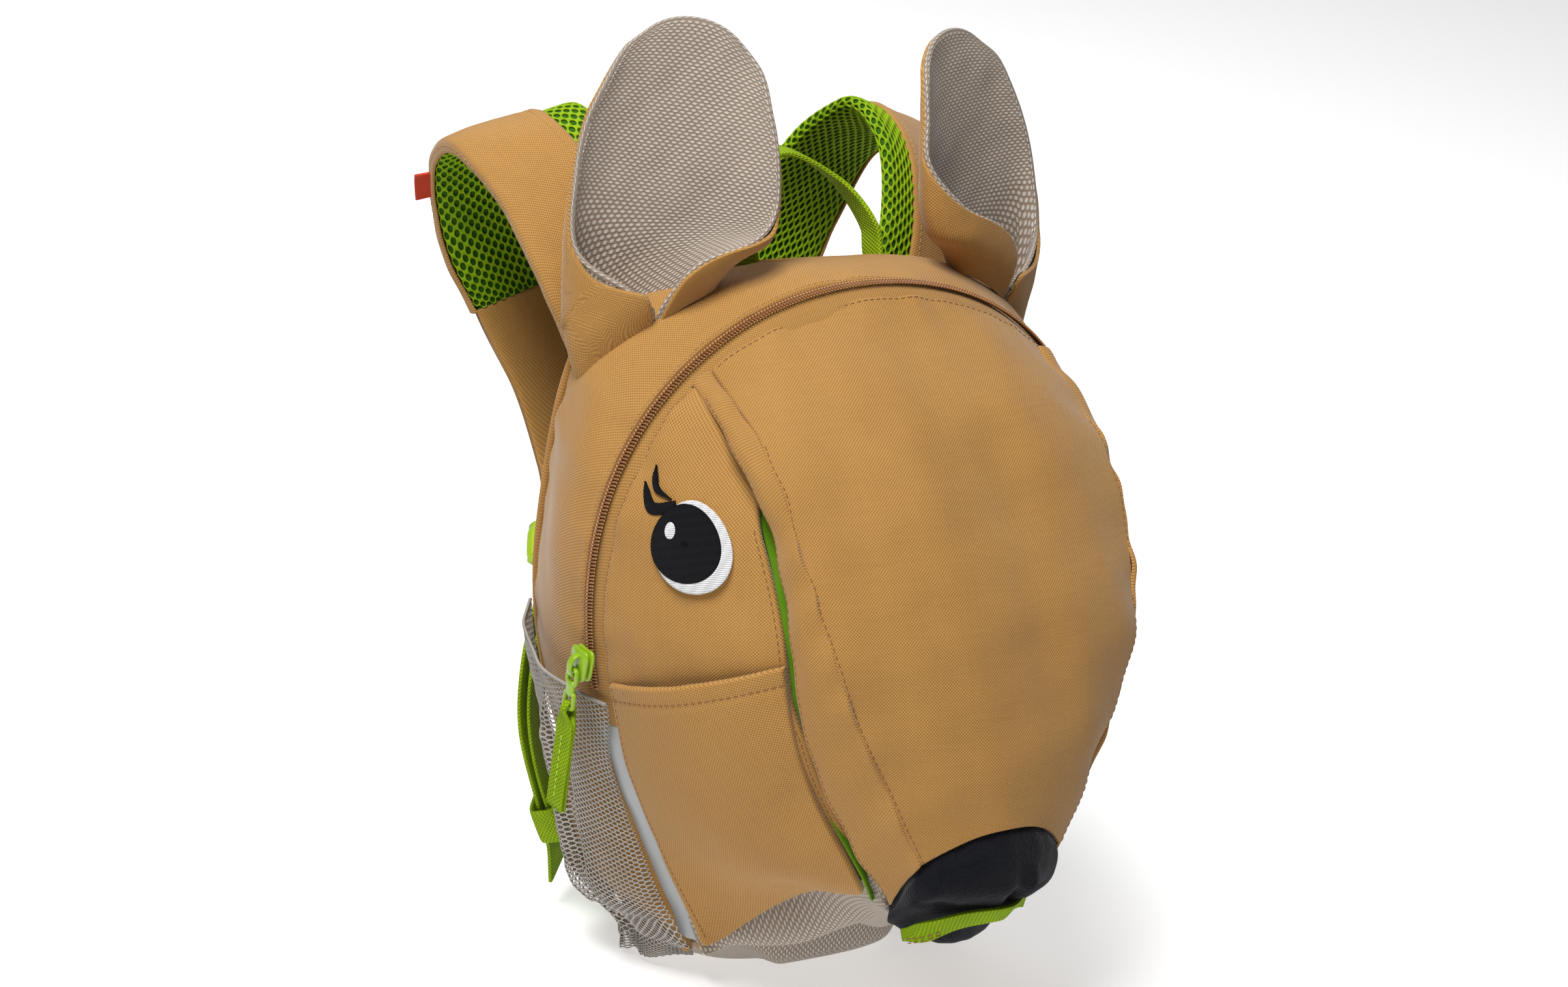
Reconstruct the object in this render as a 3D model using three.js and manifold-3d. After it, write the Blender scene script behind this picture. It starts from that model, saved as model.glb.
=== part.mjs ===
// A child's backpack made like a fawn's head, in millimetres, +Z up.
// The front faces -Y, the child's back is at +Y, and the bag stands on its base at z = 0.
import Module from "manifold-3d";
import * as THREE from "three";
import { mergeVertices } from "three/addons/utils/BufferGeometryUtils.js";

// Driving dimensions
const CLOTH = 2; // a sewn panel: face cloth, foam and lining
const POCKET_CLOTH = 1.4; // the slip pockets on the cheeks
const NET = 1; // the side pockets
const NET_OPEN = 6; // how far the middle of the net's top edge stands off
const NET_TOP = [0.645, 0.6]; // share of the half arch above the net, at the front and at the back
const GAP = 0.6; // clearance between neighbouring panels
const BASE_RIM = 13; // height of the base tray at its sides
const BASE_FRONT_RISE = 13; // extra height of the tray at the middle of the front
const BASE = { halfWidth: 55, halfDepth: 33, centreY: -18, corner: 4 };
const FRONT = { foot: 49, half: 106, widestZ: 166, top: 263 };
const BACK = { foot: 48, half: 97, widestZ: 162, top: 256 };
const FRONT_Y = -47; // front seam at floor height
const FRONT_LEAN = 0.05; // the front seam leans back as it rises
const BACK_Y = 14;
const GUSSET_BULGE = 4;
const BACK_PAD = 5;
const ZIP_HALF = 4.2; // half of the band between the gusset and the front panels
const ZIP_INSET = 2.5;
const ZIP_END = 0.6; // share of the half arch, counted from the top
const ZIP_STEPS = 30;
const COIL = { width: 5.4, height: 2 };
const SLIDER = { width: 9, length: 11, thick: 3.6, bridge: 2.2, wall: 1.4, window: 2.8, above: 1.6 };
const PULL = { width: 7, length: 16, thick: 1.6, bar: 1.4, eye: 4.4 };
const TAB = { width: 10, length: 38, thick: 1.2, clear: 0.5, neck: 6 };
const WEBBING = { width: 20, thick: 1.6 };
const PAD = { width: 47, thick: 7 };
const TAIL = { from: 6, to: 3 }; // thickness of the strap's lower end
const COVER = { from: 0.5, to: 1.7 }; // the cover's two faces, counted from the pad
const COVER_ANGLES = [98, 75, 45, 15, -12]; // round the pad, from the neck side to the outer edge
const PAD_SPLIT = 0.667; // share of the strap's length that is padded

// Half sections of the face, from the zip down to the nose, on the +X side.
// seam joins the muzzle front to its side strip, slit is the rear edge of that strip,
// edge is the front edge of the cheek, and ridge is the centre line of the muzzle.
const FACE = [
  { seam: [71, -43, 236], slit: [74, -43, 230], edge: [76, -43, 226], ridge: [0, -40, 261] },
  { seam: [70, -82, 220], slit: [72, -72, 217], edge: [71, -69, 214], ridge: [0, -81, 236] },
  { seam: [69, -105, 196], slit: [71, -92, 194], edge: [70, -89, 192], ridge: [0, -113, 205] },
  { seam: [65, -122, 172], slit: [71, -107, 168], edge: [68, -103, 167], ridge: [0, -136, 176] },
  { seam: [54, -134, 140], slit: [65, -116, 134], edge: [60, -106, 136], ridge: [0, -149, 143] },
  { seam: [43, -139, 120], slit: [53, -122, 107], edge: [50, -103, 115], ridge: [0, -154, 126] },
  { seam: [30, -146, 95], slit: [29, -131, 72], edge: [36, -99, 89], ridge: [0, -156, 109] },
];
// The cheeks run on below the nose and meet in front of the base.
const CHEEK_FOOT = [[7, -86, 58], [3, -53, 28.5]];
const LINING = { end: 0.8, crown: 24, bow: 5, inset: 2.5 }; // end is a share of the cheek edge
const CHEEK_TOP_X = 78; // where the cheek meets the zip at the forehead
const CHEEK_BULGE = 5;
const CHEEK_OUT = [0.85, -0.52, 0]; // the way the cheek bulges
const POCKET_HEM = [0.485, 0.42]; // share of the cheek above the hem, at the seam and at the slit
const POCKET_OPEN = 3; // how far the middle of the hem stands off
const LAYER = 1.4; // clearance under a pocket that lies on a panel

// Sections of the nose, from its top edge round to the underside.
const NOSE = [
  { side: [28.6, -129.4, 70], corner: [29.6, -146, 92.8], middle: [0, -156, 107.2] },
  { side: [27, -129, 66], corner: [28, -147, 82], middle: [0, -159, 92] },
  { side: [24, -126, 62.5], corner: [22.5, -140, 71], middle: [0, -149, 74] },
  { side: [20, -120, 59], corner: [19, -131, 62], middle: [0, -137, 62] },
  { side: [17, -106, 57], corner: [15, -111, 56], middle: [0, -114, 55] },
  { side: [14, -96, 56], corner: [11, -96, 55], middle: [0, -97, 54] },
];
// Webbing under the nose: points of its middle line and the direction of its width, on the +X side.
const NOSE_WEBBING = [
  { at: [26.5, -134, 60.5], across: [0, 0.2, 1] },
  { at: [24, -144.5, 66.5], across: [0, -0.1, 1] },
  { at: [12, -150, 72.5], across: [0, -0.45, 1] },
  { at: [0, -152.4, 74], across: [0, -0.55, 1] },
];
const NOSE_WEBBING_WIDTH = 11;

// Sections of an ear, from the base to the tip: height along the ear, half width and depth
// of its curl, and how far the curl wraps to each side.
const EAR = [
  { up: 0, half: 20, deep: 8, wrap: 165 },
  { up: 14, half: 27, deep: 10, wrap: 142 },
  { up: 30, half: 33, deep: 11, wrap: 112 },
  { up: 48, half: 36, deep: 12, wrap: 88 },
  { up: 68, half: 35, deep: 12, wrap: 78 },
  { up: 87, half: 30, deep: 10, wrap: 74 },
  { up: 102, half: 22, deep: 8, wrap: 72 },
  { up: 110, half: 12, deep: 5, wrap: 70 },
];
const EAR_FOOT = [69, 5];
const EAR_YAW = 22;
const EAR_LEAN_BACK = 9;
const EAR_LEAN_IN = 8;
const EAR_CLOTH = 1.4;
const EAR_CLEAR = 2.5; // gap between an ear's foot and the side band

// A shoulder strap: points of its middle line and the direction of its width, on the +X side.
const STRAP = [
  { at: [61, 25.5, 229], across: [0.9, 0, -0.42] },
  { at: [71, 39, 256], across: [0.9, 0.1, -0.4] },
  { at: [78, 62, 279], across: [0.88, 0.3, -0.36] },
  { at: [81, 88, 285], across: [0.86, 0.36, -0.36] },
  { at: [76, 109, 271], across: [0.88, 0.3, -0.36] },
  { at: [66, 118, 242], across: [0.95, 0.1, -0.28] },
  { at: [53, 114, 214], across: [0.98, -0.05, -0.15] },
  { at: [48, 96, 185], across: [0.98, -0.15, 0] },
  { at: [56, 66, 160], across: [0.97, -0.2, 0.1] },
  { at: [69, 42, 146], across: [0.9, -0.4, 0.1] },
];
const LABEL = { width: 5, thick: 1, clear: 2.4, span: [0.466, 0.5] };
const LOCK = { at: [75, 34, 139], width: 28, length: 19, thick: 4.4, slot: 3.4, bar: 3.2, corner: 3 };
const ANCHOR = [[77, 31, 128], [82, 27, 103], [81, 25, 79], [69, 24, 45], [57, 21, 23], [45, 13.5, 10]];
const FREE_TIP = [[64, 29, 28], [60, 31, 13]]; // the hanging end leaves the anchor webbing here
const FREE_SHIFT = [2.6, 2.5, 0]; // it lies outside the anchor webbing
const WEBBING_ACROSS = [-0.72, 0.69, 0];
const KEEPER = { at: 0.63, width: 26, thick: 14, length: 15, wall: 1.2 };
const HAUL = [[27, 9, 259], [27, 14, 268], [19, 30, 282], [0, 38, 290]];
const HAUL_WEBBING = { width: 11, thick: 2 };
const EYE = { along: 0.25, across: 0.5, radius: 14.5, thick: 0.7 };
const CORE = new THREE.Vector3(0, -20, 141); // walls thicken towards this point

const { lerp, smoothstep, degToRad } = THREE.MathUtils;
const vector = (list) => new THREE.Vector3(...list);
const spline = (rows) => new THREE.CatmullRomCurve3(rows.map(vector));

// A closed body from points and triangles, turned so that its faces point out.
function body(points, triangles) {
  const cross = new THREE.Vector3();
  let volume = 0;
  for (const [a, b, c] of triangles) {
    volume += points[a].dot(cross.crossVectors(points[b], points[c]));
  }
  const turned = triangles.map(([a, b, c]) => (volume < 0 ? [a, c, b] : [a, b, c]));
  return new THREE.BufferGeometry().setFromPoints(points).setIndex(turned.flat());
}

const quad = (a, b, c, d) => [[a, b, c], [a, c, d]];

// Rings of equal length joined in turn, with a flat fan at each end.
function loft(rings) {
  const count = rings[0].length;
  const points = rings.flat();
  const triangles = [];
  for (let ring = 0; ring < rings.length - 1; ring += 1) {
    for (let k = 0; k < count; k += 1) {
      const a = ring * count + k;
      const b = ring * count + ((k + 1) % count);
      triangles.push(...quad(a, b, b + count, a + count));
    }
  }
  for (const [ring, start] of [[rings[0], 0], [rings.at(-1), (rings.length - 1) * count]]) {
    const middle = ring.reduce((sum, p) => sum.add(p), new THREE.Vector3()).divideScalar(count);
    const hub = points.push(middle) - 1;
    for (let k = 0; k < count; k += 1) {
      const edge = [start + k, start + ((k + 1) % count)];
      triangles.push(start === 0 ? [hub, edge[1], edge[0]] : [hub, edge[0], edge[1]]);
    }
  }
  return body(points, triangles);
}

function normalAt(surface, u, v) {
  const step = 0.004;
  const du = surface(Math.min(u + step, 1), v).sub(surface(Math.max(u - step, 0), v));
  const dv = surface(u, Math.min(v + step, 1)).sub(surface(u, Math.max(v - step, 0)));
  return du.cross(dv).normalize();
}

// The offset that gives a panel its thickness points to the middle of the bag, so that
// neighbouring panels keep their gap.
function towardsCore(point, normal, thick) {
  const inward = CORE.clone().sub(point).normalize();
  return inward.multiplyScalar(thick / Math.max(0.5, Math.abs(normal.dot(inward))));
}

// A closed sheet between two faces, which are given for u and v from 0 to 1.
function sheet(outerFace, innerFace, columns, rows) {
  const outer = [];
  const inner = [];
  for (let j = 0; j <= rows; j += 1) {
    for (let i = 0; i <= columns; i += 1) {
      outer.push(outerFace(i / columns, j / rows));
      inner.push(innerFace(i / columns, j / rows));
    }
  }
  const size = outer.length;
  const at = (i, j) => j * (columns + 1) + i;
  const triangles = [];
  const rimQuad = (a, b) => triangles.push(...quad(b, a, a + size, b + size));
  for (let j = 0; j < rows; j += 1) {
    for (let i = 0; i < columns; i += 1) {
      const [a, b, c, d] = [at(i, j), at(i + 1, j), at(i + 1, j + 1), at(i, j + 1)];
      triangles.push(...quad(a, b, c, d), ...quad(d + size, c + size, b + size, a + size));
    }
    rimQuad(at(columns, j), at(columns, j + 1));
    rimQuad(at(0, j + 1), at(0, j));
  }
  for (let i = 0; i < columns; i += 1) {
    rimQuad(at(i, 0), at(i + 1, 0));
    rimQuad(at(i + 1, rows), at(i, rows));
  }
  return body([...outer, ...inner], triangles);
}

// A panel of even thickness under a surface.
const panel = (surface, columns, rows, thick) => sheet(
  surface,
  (u, v) => towardsCore(surface(u, v), normalAt(surface, u, v), thick).add(surface(u, v)),
  columns,
  rows,
);

// A surface moved along its own normal, or moved outwards from the bag by a height at u and v.
const raised = (surface, height) => (u, v) => surface(u, v).addScaledVector(normalAt(surface, u, v), height);
const lifted = (surface, height) => (u, v) => {
  const point = surface(u, v);
  const normal = normalAt(surface, u, v);
  const side = Math.sign(normal.dot(point.clone().sub(CORE)));
  return point.addScaledVector(normal, side * height(u, v));
};

// The frame of a strap at t: its middle, the direction of its width and its outer side.
function strapFrame(path, across, t) {
  const tangent = path.getTangent(t);
  const width = across.getPoint(t);
  width.addScaledVector(tangent, -width.dot(tangent)).normalize();
  return { middle: path.getPoint(t), width, out: width.clone().cross(tangent) };
}

// A solid strap: section(t) lists its corners as [across, out] pairs.
function sweep(path, across, steps, section, from = 0, to = 1) {
  const rings = [];
  for (let k = 0; k <= steps; k += 1) {
    const t = lerp(from, to, k / steps);
    const { middle, width, out } = strapFrame(path, across, t);
    rings.push(section(t).map(([a, h]) => middle.clone().addScaledVector(width, a).addScaledVector(out, h)));
  }
  return loft(rings);
}

const flat = (width, thick) => [
  [-width / 2, -thick / 2], [width / 2, -thick / 2], [width / 2, thick / 2], [-width / 2, thick / 2],
];
const fixedAcross = (direction) => spline([direction, direction]);

// A padded section: flat faces with round edges.
function padCorner(width, thick, angle) {
  const square = (value) => Math.sign(value) * Math.abs(value) ** 0.5;
  return [(width / 2) * square(Math.cos(angle)), (thick / 2) * square(Math.sin(angle))];
}
const padded = (width, thick, sides = 12) => Array.from(
  { length: sides },
  (_, k) => padCorner(width, thick, (2 * Math.PI * (k + 0.5)) / sides),
);

// The half arch of a seam in the XZ plane, from its foot on the base up to its top.
function arch({ foot, half, widestZ, top }) {
  const path = new THREE.Path();
  const footZ = BASE_RIM + 4 * GAP;
  path.moveTo(foot, footZ);
  path.bezierCurveTo(
    lerp(foot, half, 0.42), lerp(footZ, widestZ, 0.33), half, lerp(footZ, widestZ, 0.62), half, widestZ,
  );
  path.bezierCurveTo(half, lerp(widestZ, top, 0.58), half * 0.58, top, 0, top);
  return path;
}
const frontArch = arch(FRONT);
const backArch = arch(BACK);

// A point and outward direction on an arch. s runs from 0 at the top to 1 or -1 at the foot.
function rim(path, s) {
  const side = s < 0 ? -1 : 1;
  const point = path.getPointAt(1 - Math.abs(s));
  const tangent = path.getTangentAt(1 - Math.abs(s));
  return { x: side * point.x, z: point.y, outX: side * tangent.y, outZ: -tangent.x };
}
const frontY = (z) => FRONT_Y + FRONT_LEAN * z;

// The side band, with v from the zip to the back seam.
function gussetPoint(s, v) {
  const front = rim(frontArch, s);
  const back = rim(backArch, s);
  const fade = 1 - 0.4 * smoothstep(Math.abs(s), 0.75, 1);
  const lift = GUSSET_BULGE * fade * 4 * v * (1 - v);
  return new THREE.Vector3(
    lerp(front.x, back.x, v) + front.outX * lift,
    lerp(frontY(front.z) + ZIP_HALF + GAP, BACK_Y, v),
    lerp(front.z, back.z, v) + front.outZ * lift,
  );
}

// The narrow band along the front seam, with w from the gusset to the front panels.
function seamBand(s, w, rise = 0) {
  const front = rim(frontArch, s);
  const inset = ZIP_INSET * w * w - rise;
  return new THREE.Vector3(
    front.x - front.outX * inset,
    frontY(front.z) + ZIP_HALF * (1 - 2 * w),
    front.z - front.outZ * inset,
  );
}

// The tray under the bag, whose rim rises at the middle of the front.
function baseTray() {
  const { halfWidth, halfDepth, centreY, corner } = BASE;
  const count = 32;
  const ring = (scale, height, inset = 0) => Array.from({ length: count }, (_, k) => {
    const angle = (2 * Math.PI * k) / count;
    const square = (value) => Math.sign(value) * Math.abs(value) ** (2 / corner);
    const front = Math.max(0, -Math.sin(angle)) ** 4;
    return new THREE.Vector3(
      (halfWidth - inset) * scale * square(Math.cos(angle)),
      centreY + (halfDepth - inset) * scale * square(Math.sin(angle)),
      height + (height > BASE_RIM / 2 ? BASE_FRONT_RISE * front : 0),
    );
  });
  return loft([
    ring(0.93, 0), ring(0.97, 4), ring(0.99, 12), ring(1, BASE_RIM),
    ring(1, BASE_RIM, CLOTH), ring(0.98, 12, CLOTH), ring(0.96, 5, CLOTH), ring(0.93, CLOTH, CLOTH),
  ]);
}

function backPanel() {
  const half = Array.from({ length: 17 }, (_, k) => rim(backArch, 1 - k / 16));
  const outline = [...half, ...half.slice(0, -1).reverse().map(({ x, z }) => ({ x: -x, z }))];
  const middleZ = (BACK.top + BASE_RIM) / 2;
  const ring = (scale, out) => outline.map(({ x, z }) => (
    new THREE.Vector3(x * scale, BACK_Y + GAP + out, middleZ + (z - middleZ) * scale)
  ));
  return loft([ring(1, 0), ring(1, BACK_PAD * 0.4), ring(0.94, BACK_PAD * 0.8), ring(0.6, BACK_PAD)]);
}

const column = (rows, name) => spline(rows.map((row) => row[name]));
const seamLine = column(FACE, "seam");
const slitLine = column(FACE, "slit");
const ridgeLine = column(FACE, "ridge");
const edgeLine = spline([...FACE.map(({ edge }) => edge), ...CHEEK_FOOT]);

// The share of the half arch at which the front seam is x away from the middle plane.
function archShareAt(x) {
  let [low, high] = [0, 0.5];
  for (let k = 0; k < 30; k += 1) {
    const middle = (low + high) / 2;
    if (rim(frontArch, middle).x < x) low = middle;
    else high = middle;
  }
  return low;
}
const CHEEK_START = archShareAt(CHEEK_TOP_X);

// The cheek, from the front seam (across = 0) to its front edge (across = 1).
function cheekPoint(along, across) {
  const outer = seamBand(lerp(CHEEK_START, 1, along), 1);
  outer.y -= GAP;
  const inner = edgeLine.getPoint(along);
  const lift = CHEEK_BULGE * 4 * across * (1 - across) * Math.sin(Math.PI * along) ** 0.5;
  return outer.lerp(inner, across).add(vector(CHEEK_OUT).multiplyScalar(lift));
}

// The slip pocket over the lower cheek, standing a little open at its hem.
const pocketPoint = (u, v) => cheekPoint(lerp(lerp(...POCKET_HEM, v), 0.985, u), lerp(0.015, 0.985, v));
const pocketRise = (extra) => (u, v) => extra + LAYER + POCKET_OPEN * (1 - u) * 4 * v * (1 - v);

function muzzlePoint(side, along) {
  const seam = seamLine.getPoint(along);
  const ridge = ridgeLine.getPoint(along);
  const round = Math.abs(side) ** 2.2;
  return new THREE.Vector3(
    (seam.x - GAP) * side,
    lerp(ridge.y, seam.y, round),
    lerp(ridge.z, seam.z, round),
  );
}

// The strip between the seam and the slit, a little bowed outwards.
function muzzleSidePoint(along, across) {
  const seam = seamLine.getPoint(along);
  seam.x += GAP;
  const point = seam.lerp(slitLine.getPoint(along), across);
  point.x += 2 * Math.sin(Math.PI * across);
  return point;
}

function liningPoint(side, along) {
  const edge = edgeLine.getPoint(along);
  const round = 1 - side * side;
  const lift = LINING.crown * (1 - smoothstep(along, 0, 0.25));
  return new THREE.Vector3(
    (edge.x - LINING.inset) * side,
    edge.y + 1.5 - LINING.bow * round * smoothstep(along, 0, 0.2),
    edge.z - 1 + lift * round,
  );
}

const nosePaths = ["side", "corner", "middle"].map((name) => column(NOSE, name));
function nosePoint(side, along) {
  const [rear, corner, middle] = nosePaths.map((path) => path.getPoint(along));
  const mirrored = [corner, rear].map(({ x, y, z }) => new THREE.Vector3(-x, y, z));
  return new THREE.CatmullRomCurve3([rear, corner, middle, ...mirrored]).getPoint(side);
}

// Height of the gusset under a point seen from above, on the +X side.
function gussetTop(x, y) {
  const v = THREE.MathUtils.clamp((y - frontY(FRONT.top)) / (BACK_Y - frontY(FRONT.top)), 0, 1);
  let [low, high] = [0, 0.5];
  for (let k = 0; k < 30; k += 1) {
    const middle = (low + high) / 2;
    if (gussetPoint(middle, v).x < x) low = middle;
    else high = middle;
  }
  return gussetPoint(low, v).z;
}

const earPath = spline(EAR.map(({ up, half, deep }) => [up, half, deep]));
const earWrap = spline(EAR.map(({ wrap }) => [wrap, 0, 0]));
const earTurn = new THREE.Euler(degToRad(-EAR_LEAN_BACK), degToRad(-EAR_LEAN_IN), degToRad(EAR_YAW), "XYZ");

// A leaf of cloth whose sides curl forwards and meet at the base. side runs from -1 to 1.
function earPoint(side, along) {
  const { x: up, y: half, z: deep } = earPath.getPoint(along);
  const angle = side * degToRad(earWrap.getPoint(along).x);
  const tipRound = 1 - 0.12 * side * side * smoothstep(along, 0.5, 1);
  const point = new THREE.Vector3(half * Math.sin(angle), deep * (Math.cos(angle) - 1), up * tipRound);
  point.applyEuler(earTurn);
  point.x += EAR_FOOT[0];
  point.y += EAR_FOOT[1];
  const footZ = gussetTop(point.x, point.y) + EAR_CLEAR;
  const ground = gussetTop(...EAR_FOOT) + point.z;
  point.z = lerp(Math.max(footZ, footZ + point.z), ground, smoothstep(along, 0, 0.45));
  return point;
}
const earSurface = (u, v) => earPoint(2 * u - 1, v);
const earLayer = (from, to) => sheet(raised(earSurface, from), raised(earSurface, to), 12, 9);

const strapPath = spline(STRAP.map(({ at }) => at));
const strapAcross = spline(STRAP.map(({ across }) => across));

// The cloth over the outer face of the pad, from the neck side round the outer edge.
const coverFace = (grow) => (u, v) => {
  const { middle, width, out } = strapFrame(strapPath, strapAcross, lerp(0, PAD_SPLIT, u));
  const angle = COVER_ANGLES[Math.round(v * (COVER_ANGLES.length - 1))];
  const [a, h] = padCorner(PAD.width + 2 * grow, PAD.thick + 2 * grow, degToRad(angle));
  return middle.addScaledVector(width, a).addScaledVector(out, h);
};

// The strap's plain lower end narrows to the width of the adjuster.
function strapTail() {
  const from = PAD_SPLIT + 0.002;
  const section = (t) => {
    const narrow = smoothstep(t, from, 1);
    return padded(lerp(PAD.width, WEBBING.width, narrow), lerp(TAIL.from, TAIL.to, narrow), 8);
  };
  return sweep(strapPath, strapAcross, 9, section, from, 1);
}

// A plain tab sewn into the outer edge of one strap.
function labelSection() {
  const edge = PAD.width / 2 + LABEL.clear + LABEL.width / 2;
  return flat(LABEL.width, LABEL.thick).map(([a, h]) => [edge + a, h]);
}

// A flat adjuster with two slots, lying in the strap's plane.
function ladderLock() {
  const { width, length, thick, slot, bar, corner } = LOCK;
  const shape = new THREE.Shape();
  shape.moveTo(-width / 2, -length / 2 + corner);
  shape.lineTo(-width / 2 + corner, -length / 2);
  shape.lineTo(width / 2 - corner, -length / 2);
  shape.lineTo(width / 2, -length / 2 + corner);
  shape.lineTo(width / 2 - corner, length / 2);
  shape.lineTo(-width / 2 + corner, length / 2);
  for (const middle of [-(slot + bar) / 2, (slot + bar) / 2]) {
    const hole = new THREE.Path();
    hole.moveTo(-WEBBING.width / 2, middle - slot / 2);
    hole.lineTo(-WEBBING.width / 2, middle + slot / 2);
    hole.lineTo(WEBBING.width / 2, middle + slot / 2);
    hole.lineTo(WEBBING.width / 2, middle - slot / 2);
    shape.holes.push(hole);
  }
  const geometry = new THREE.ExtrudeGeometry(shape, { depth: thick, bevelEnabled: false });
  geometry.translate(0, 0, -thick / 2);
  const { width: x, out: z } = strapFrame(strapPath, strapAcross, 1);
  const turn = new THREE.Matrix4().makeBasis(x, z.clone().cross(x), z);
  return geometry.applyMatrix4(turn).translate(...LOCK.at);
}

const shift = (point, by) => point.map((value, k) => value + by[k]);
const anchorPath = spline(ANCHOR);
const freePath = spline([...ANCHOR.slice(0, 4).map((point) => shift(point, FREE_SHIFT)), ...FREE_TIP]);
const webbing = (path) => sweep(
  path, fixedAcross(WEBBING_ACROSS), 12, () => flat(WEBBING.width, WEBBING.thick),
);

// A flat tube of elastic round both layers of webbing.
function keeper() {
  const { at, width, thick, length, wall } = KEEPER;
  const z = anchorPath.getTangent(at);
  const x = vector(WEBBING_ACROSS);
  x.addScaledVector(z, -x.dot(z)).normalize();
  const middle = anchorPath.getPoint(at).lerp(freePath.getPoint(at), 0.5);
  const turn = new THREE.Matrix4().makeBasis(x, z.clone().cross(x), z).setPosition(middle);
  const ring = (inset, height) => flat(width - 2 * inset, thick - 2 * inset)
    .map(([a, h]) => new THREE.Vector3(a, h, height).applyMatrix4(turn));
  const rings = [ring(0, -length / 2), ring(0, length / 2), ring(wall, length / 2), ring(wall, -length / 2)];
  const triangles = [];
  for (let r = 0; r < 4; r += 1) {
    for (let k = 0; k < 4; k += 1) {
      const next = (k + 1) % 4;
      triangles.push(...quad(r * 4 + k, r * 4 + next, ((r + 1) % 4) * 4 + next, ((r + 1) % 4) * 4 + k));
    }
  }
  return body(rings.flat(), triangles);
}

// A round patch lying on the cheek.
function eyePatch() {
  const { along, across, radius, thick } = EYE;
  const middle = cheekPoint(along, across);
  const step = 0.02;
  const down = cheekPoint(along + step, across).distanceTo(middle) / step;
  const forward = cheekPoint(along, across + step).distanceTo(middle) / step;
  const ring = (size, height) => Array.from({ length: 20 }, (_, k) => {
    const angle = (2 * Math.PI * k) / 20;
    const face = lifted(cheekPoint, () => height);
    return face(along + (size * Math.sin(angle)) / down, across + (size * Math.cos(angle)) / forward);
  });
  const lift = 2 * GAP;
  return loft([ring(radius, lift), ring(radius, lift + thick), ring(radius * 0.5, lift + thick)]);
}

const wasm = await Module();
wasm.setup();

// The union of two closed bodies.
function join(...geometries) {
  const solids = geometries.map((geometry) => {
    const bare = new THREE.BufferGeometry();
    bare.setAttribute("position", geometry.attributes.position);
    if (geometry.index) bare.setIndex(geometry.index);
    const merged = mergeVertices(bare);
    return new wasm.Manifold(new wasm.Mesh({
      numProp: 3,
      vertProperties: Float32Array.from(merged.attributes.position.array),
      triVerts: Uint32Array.from(merged.index.array),
    }));
  });
  const { vertProperties, triVerts } = solids.reduce((whole, solid) => whole.add(solid)).getMesh();
  const geometry = new THREE.BufferGeometry();
  geometry.setAttribute("position", new THREE.BufferAttribute(vertProperties, 3));
  return geometry.setIndex(new THREE.BufferAttribute(triVerts, 1));
}

const rectangle = (path, [left, right], [low, high]) => path.moveTo(left, low)
  .lineTo(right, low)
  .lineTo(right, high)
  .lineTo(left, high);

// A plate with rectangular windows, drawn in a plane and centred through its thickness.
function plate(outline, windows, thick) {
  const shape = new THREE.Shape();
  rectangle(shape, ...outline);
  for (const [across, up] of windows) {
    const [left, right] = across;
    const hole = new THREE.Path();
    rectangle(hole, [right, left], up);
    shape.holes.push(hole);
  }
  const geometry = new THREE.ExtrudeGeometry(shape, { depth: thick, bevelEnabled: false });
  return geometry.translate(0, 0, -thick / 2);
}

// The slider sits on the coil at the lower left end of the zip. Its bridge holds the pull.
const zipFoot = seamBand(-ZIP_END, 0.5, COIL.height + SLIDER.above);
const PULL_AXIS = zipFoot.clone().add(new THREE.Vector3(-SLIDER.thick - SLIDER.window / 2, 0, -1));
function zipSlider() {
  const { width, length, thick, bridge, wall, window } = SLIDER;
  const block = new THREE.BoxGeometry(thick, width, length).translate(-thick / 2, 0, 0);
  const half = length / 2 - 1;
  const opening = [[-thick - window, -thick], [wall - half, half - wall]];
  const loop = plate([[-thick - window - wall, -thick / 2], [-half, half]], [opening], bridge);
  loop.rotateX(Math.PI / 2);
  return join(block, loop).translate(zipFoot.x, zipFoot.y, zipFoot.z);
}

// The pull hangs on the bridge by the bar at its upper end.
function zipPull() {
  const { width, length, thick, bar, eye } = PULL;
  const inner = [-width / 2 + bar, width / 2 - bar];
  const top = bar / 2;
  const foot = top - length + bar;
  const windows = [[inner, [top - bar - eye, top - bar]], [inner, [foot, foot + eye]]];
  const geometry = plate([[-width / 2, width / 2], [top - length, top]], windows, thick);
  geometry.applyMatrix4(new THREE.Matrix4().makeBasis(
    new THREE.Vector3(0, 1, 0), new THREE.Vector3(0, 0, 1), new THREE.Vector3(1, 0, 0),
  ));
  return geometry.translate(...PULL_AXIS.toArray());
}

// A webbing tab threaded through the lower window of the pull and sewn to itself.
function zipTab() {
  const { width, length, thick, clear, neck } = TAB;
  const barZ = PULL_AXIS.z + PULL.bar - PULL.length;
  const round = PULL.thick / 2 + thick / 2 + clear;
  const sewn = thick / 2 + clear;
  const half = [[sewn, -length], [sewn, -neck], [round, 0]];
  const rows = [...half.map(([out, up]) => [-out, up]), [0, round], ...half.reverse()];
  const path = spline(rows.map(([out, up]) => [PULL_AXIS.x + out, PULL_AXIS.y, barZ + up]));
  const narrow = PULL.width - 2 * PULL.bar - 2 * clear;
  const spread = (t) => lerp(narrow, width, smoothstep(Math.abs(t - 0.5), 0.2, 0.36));
  return sweep(path, fixedAcross([0, 1, 0]), 18, (t) => flat(spread(t), thick));
}

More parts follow.
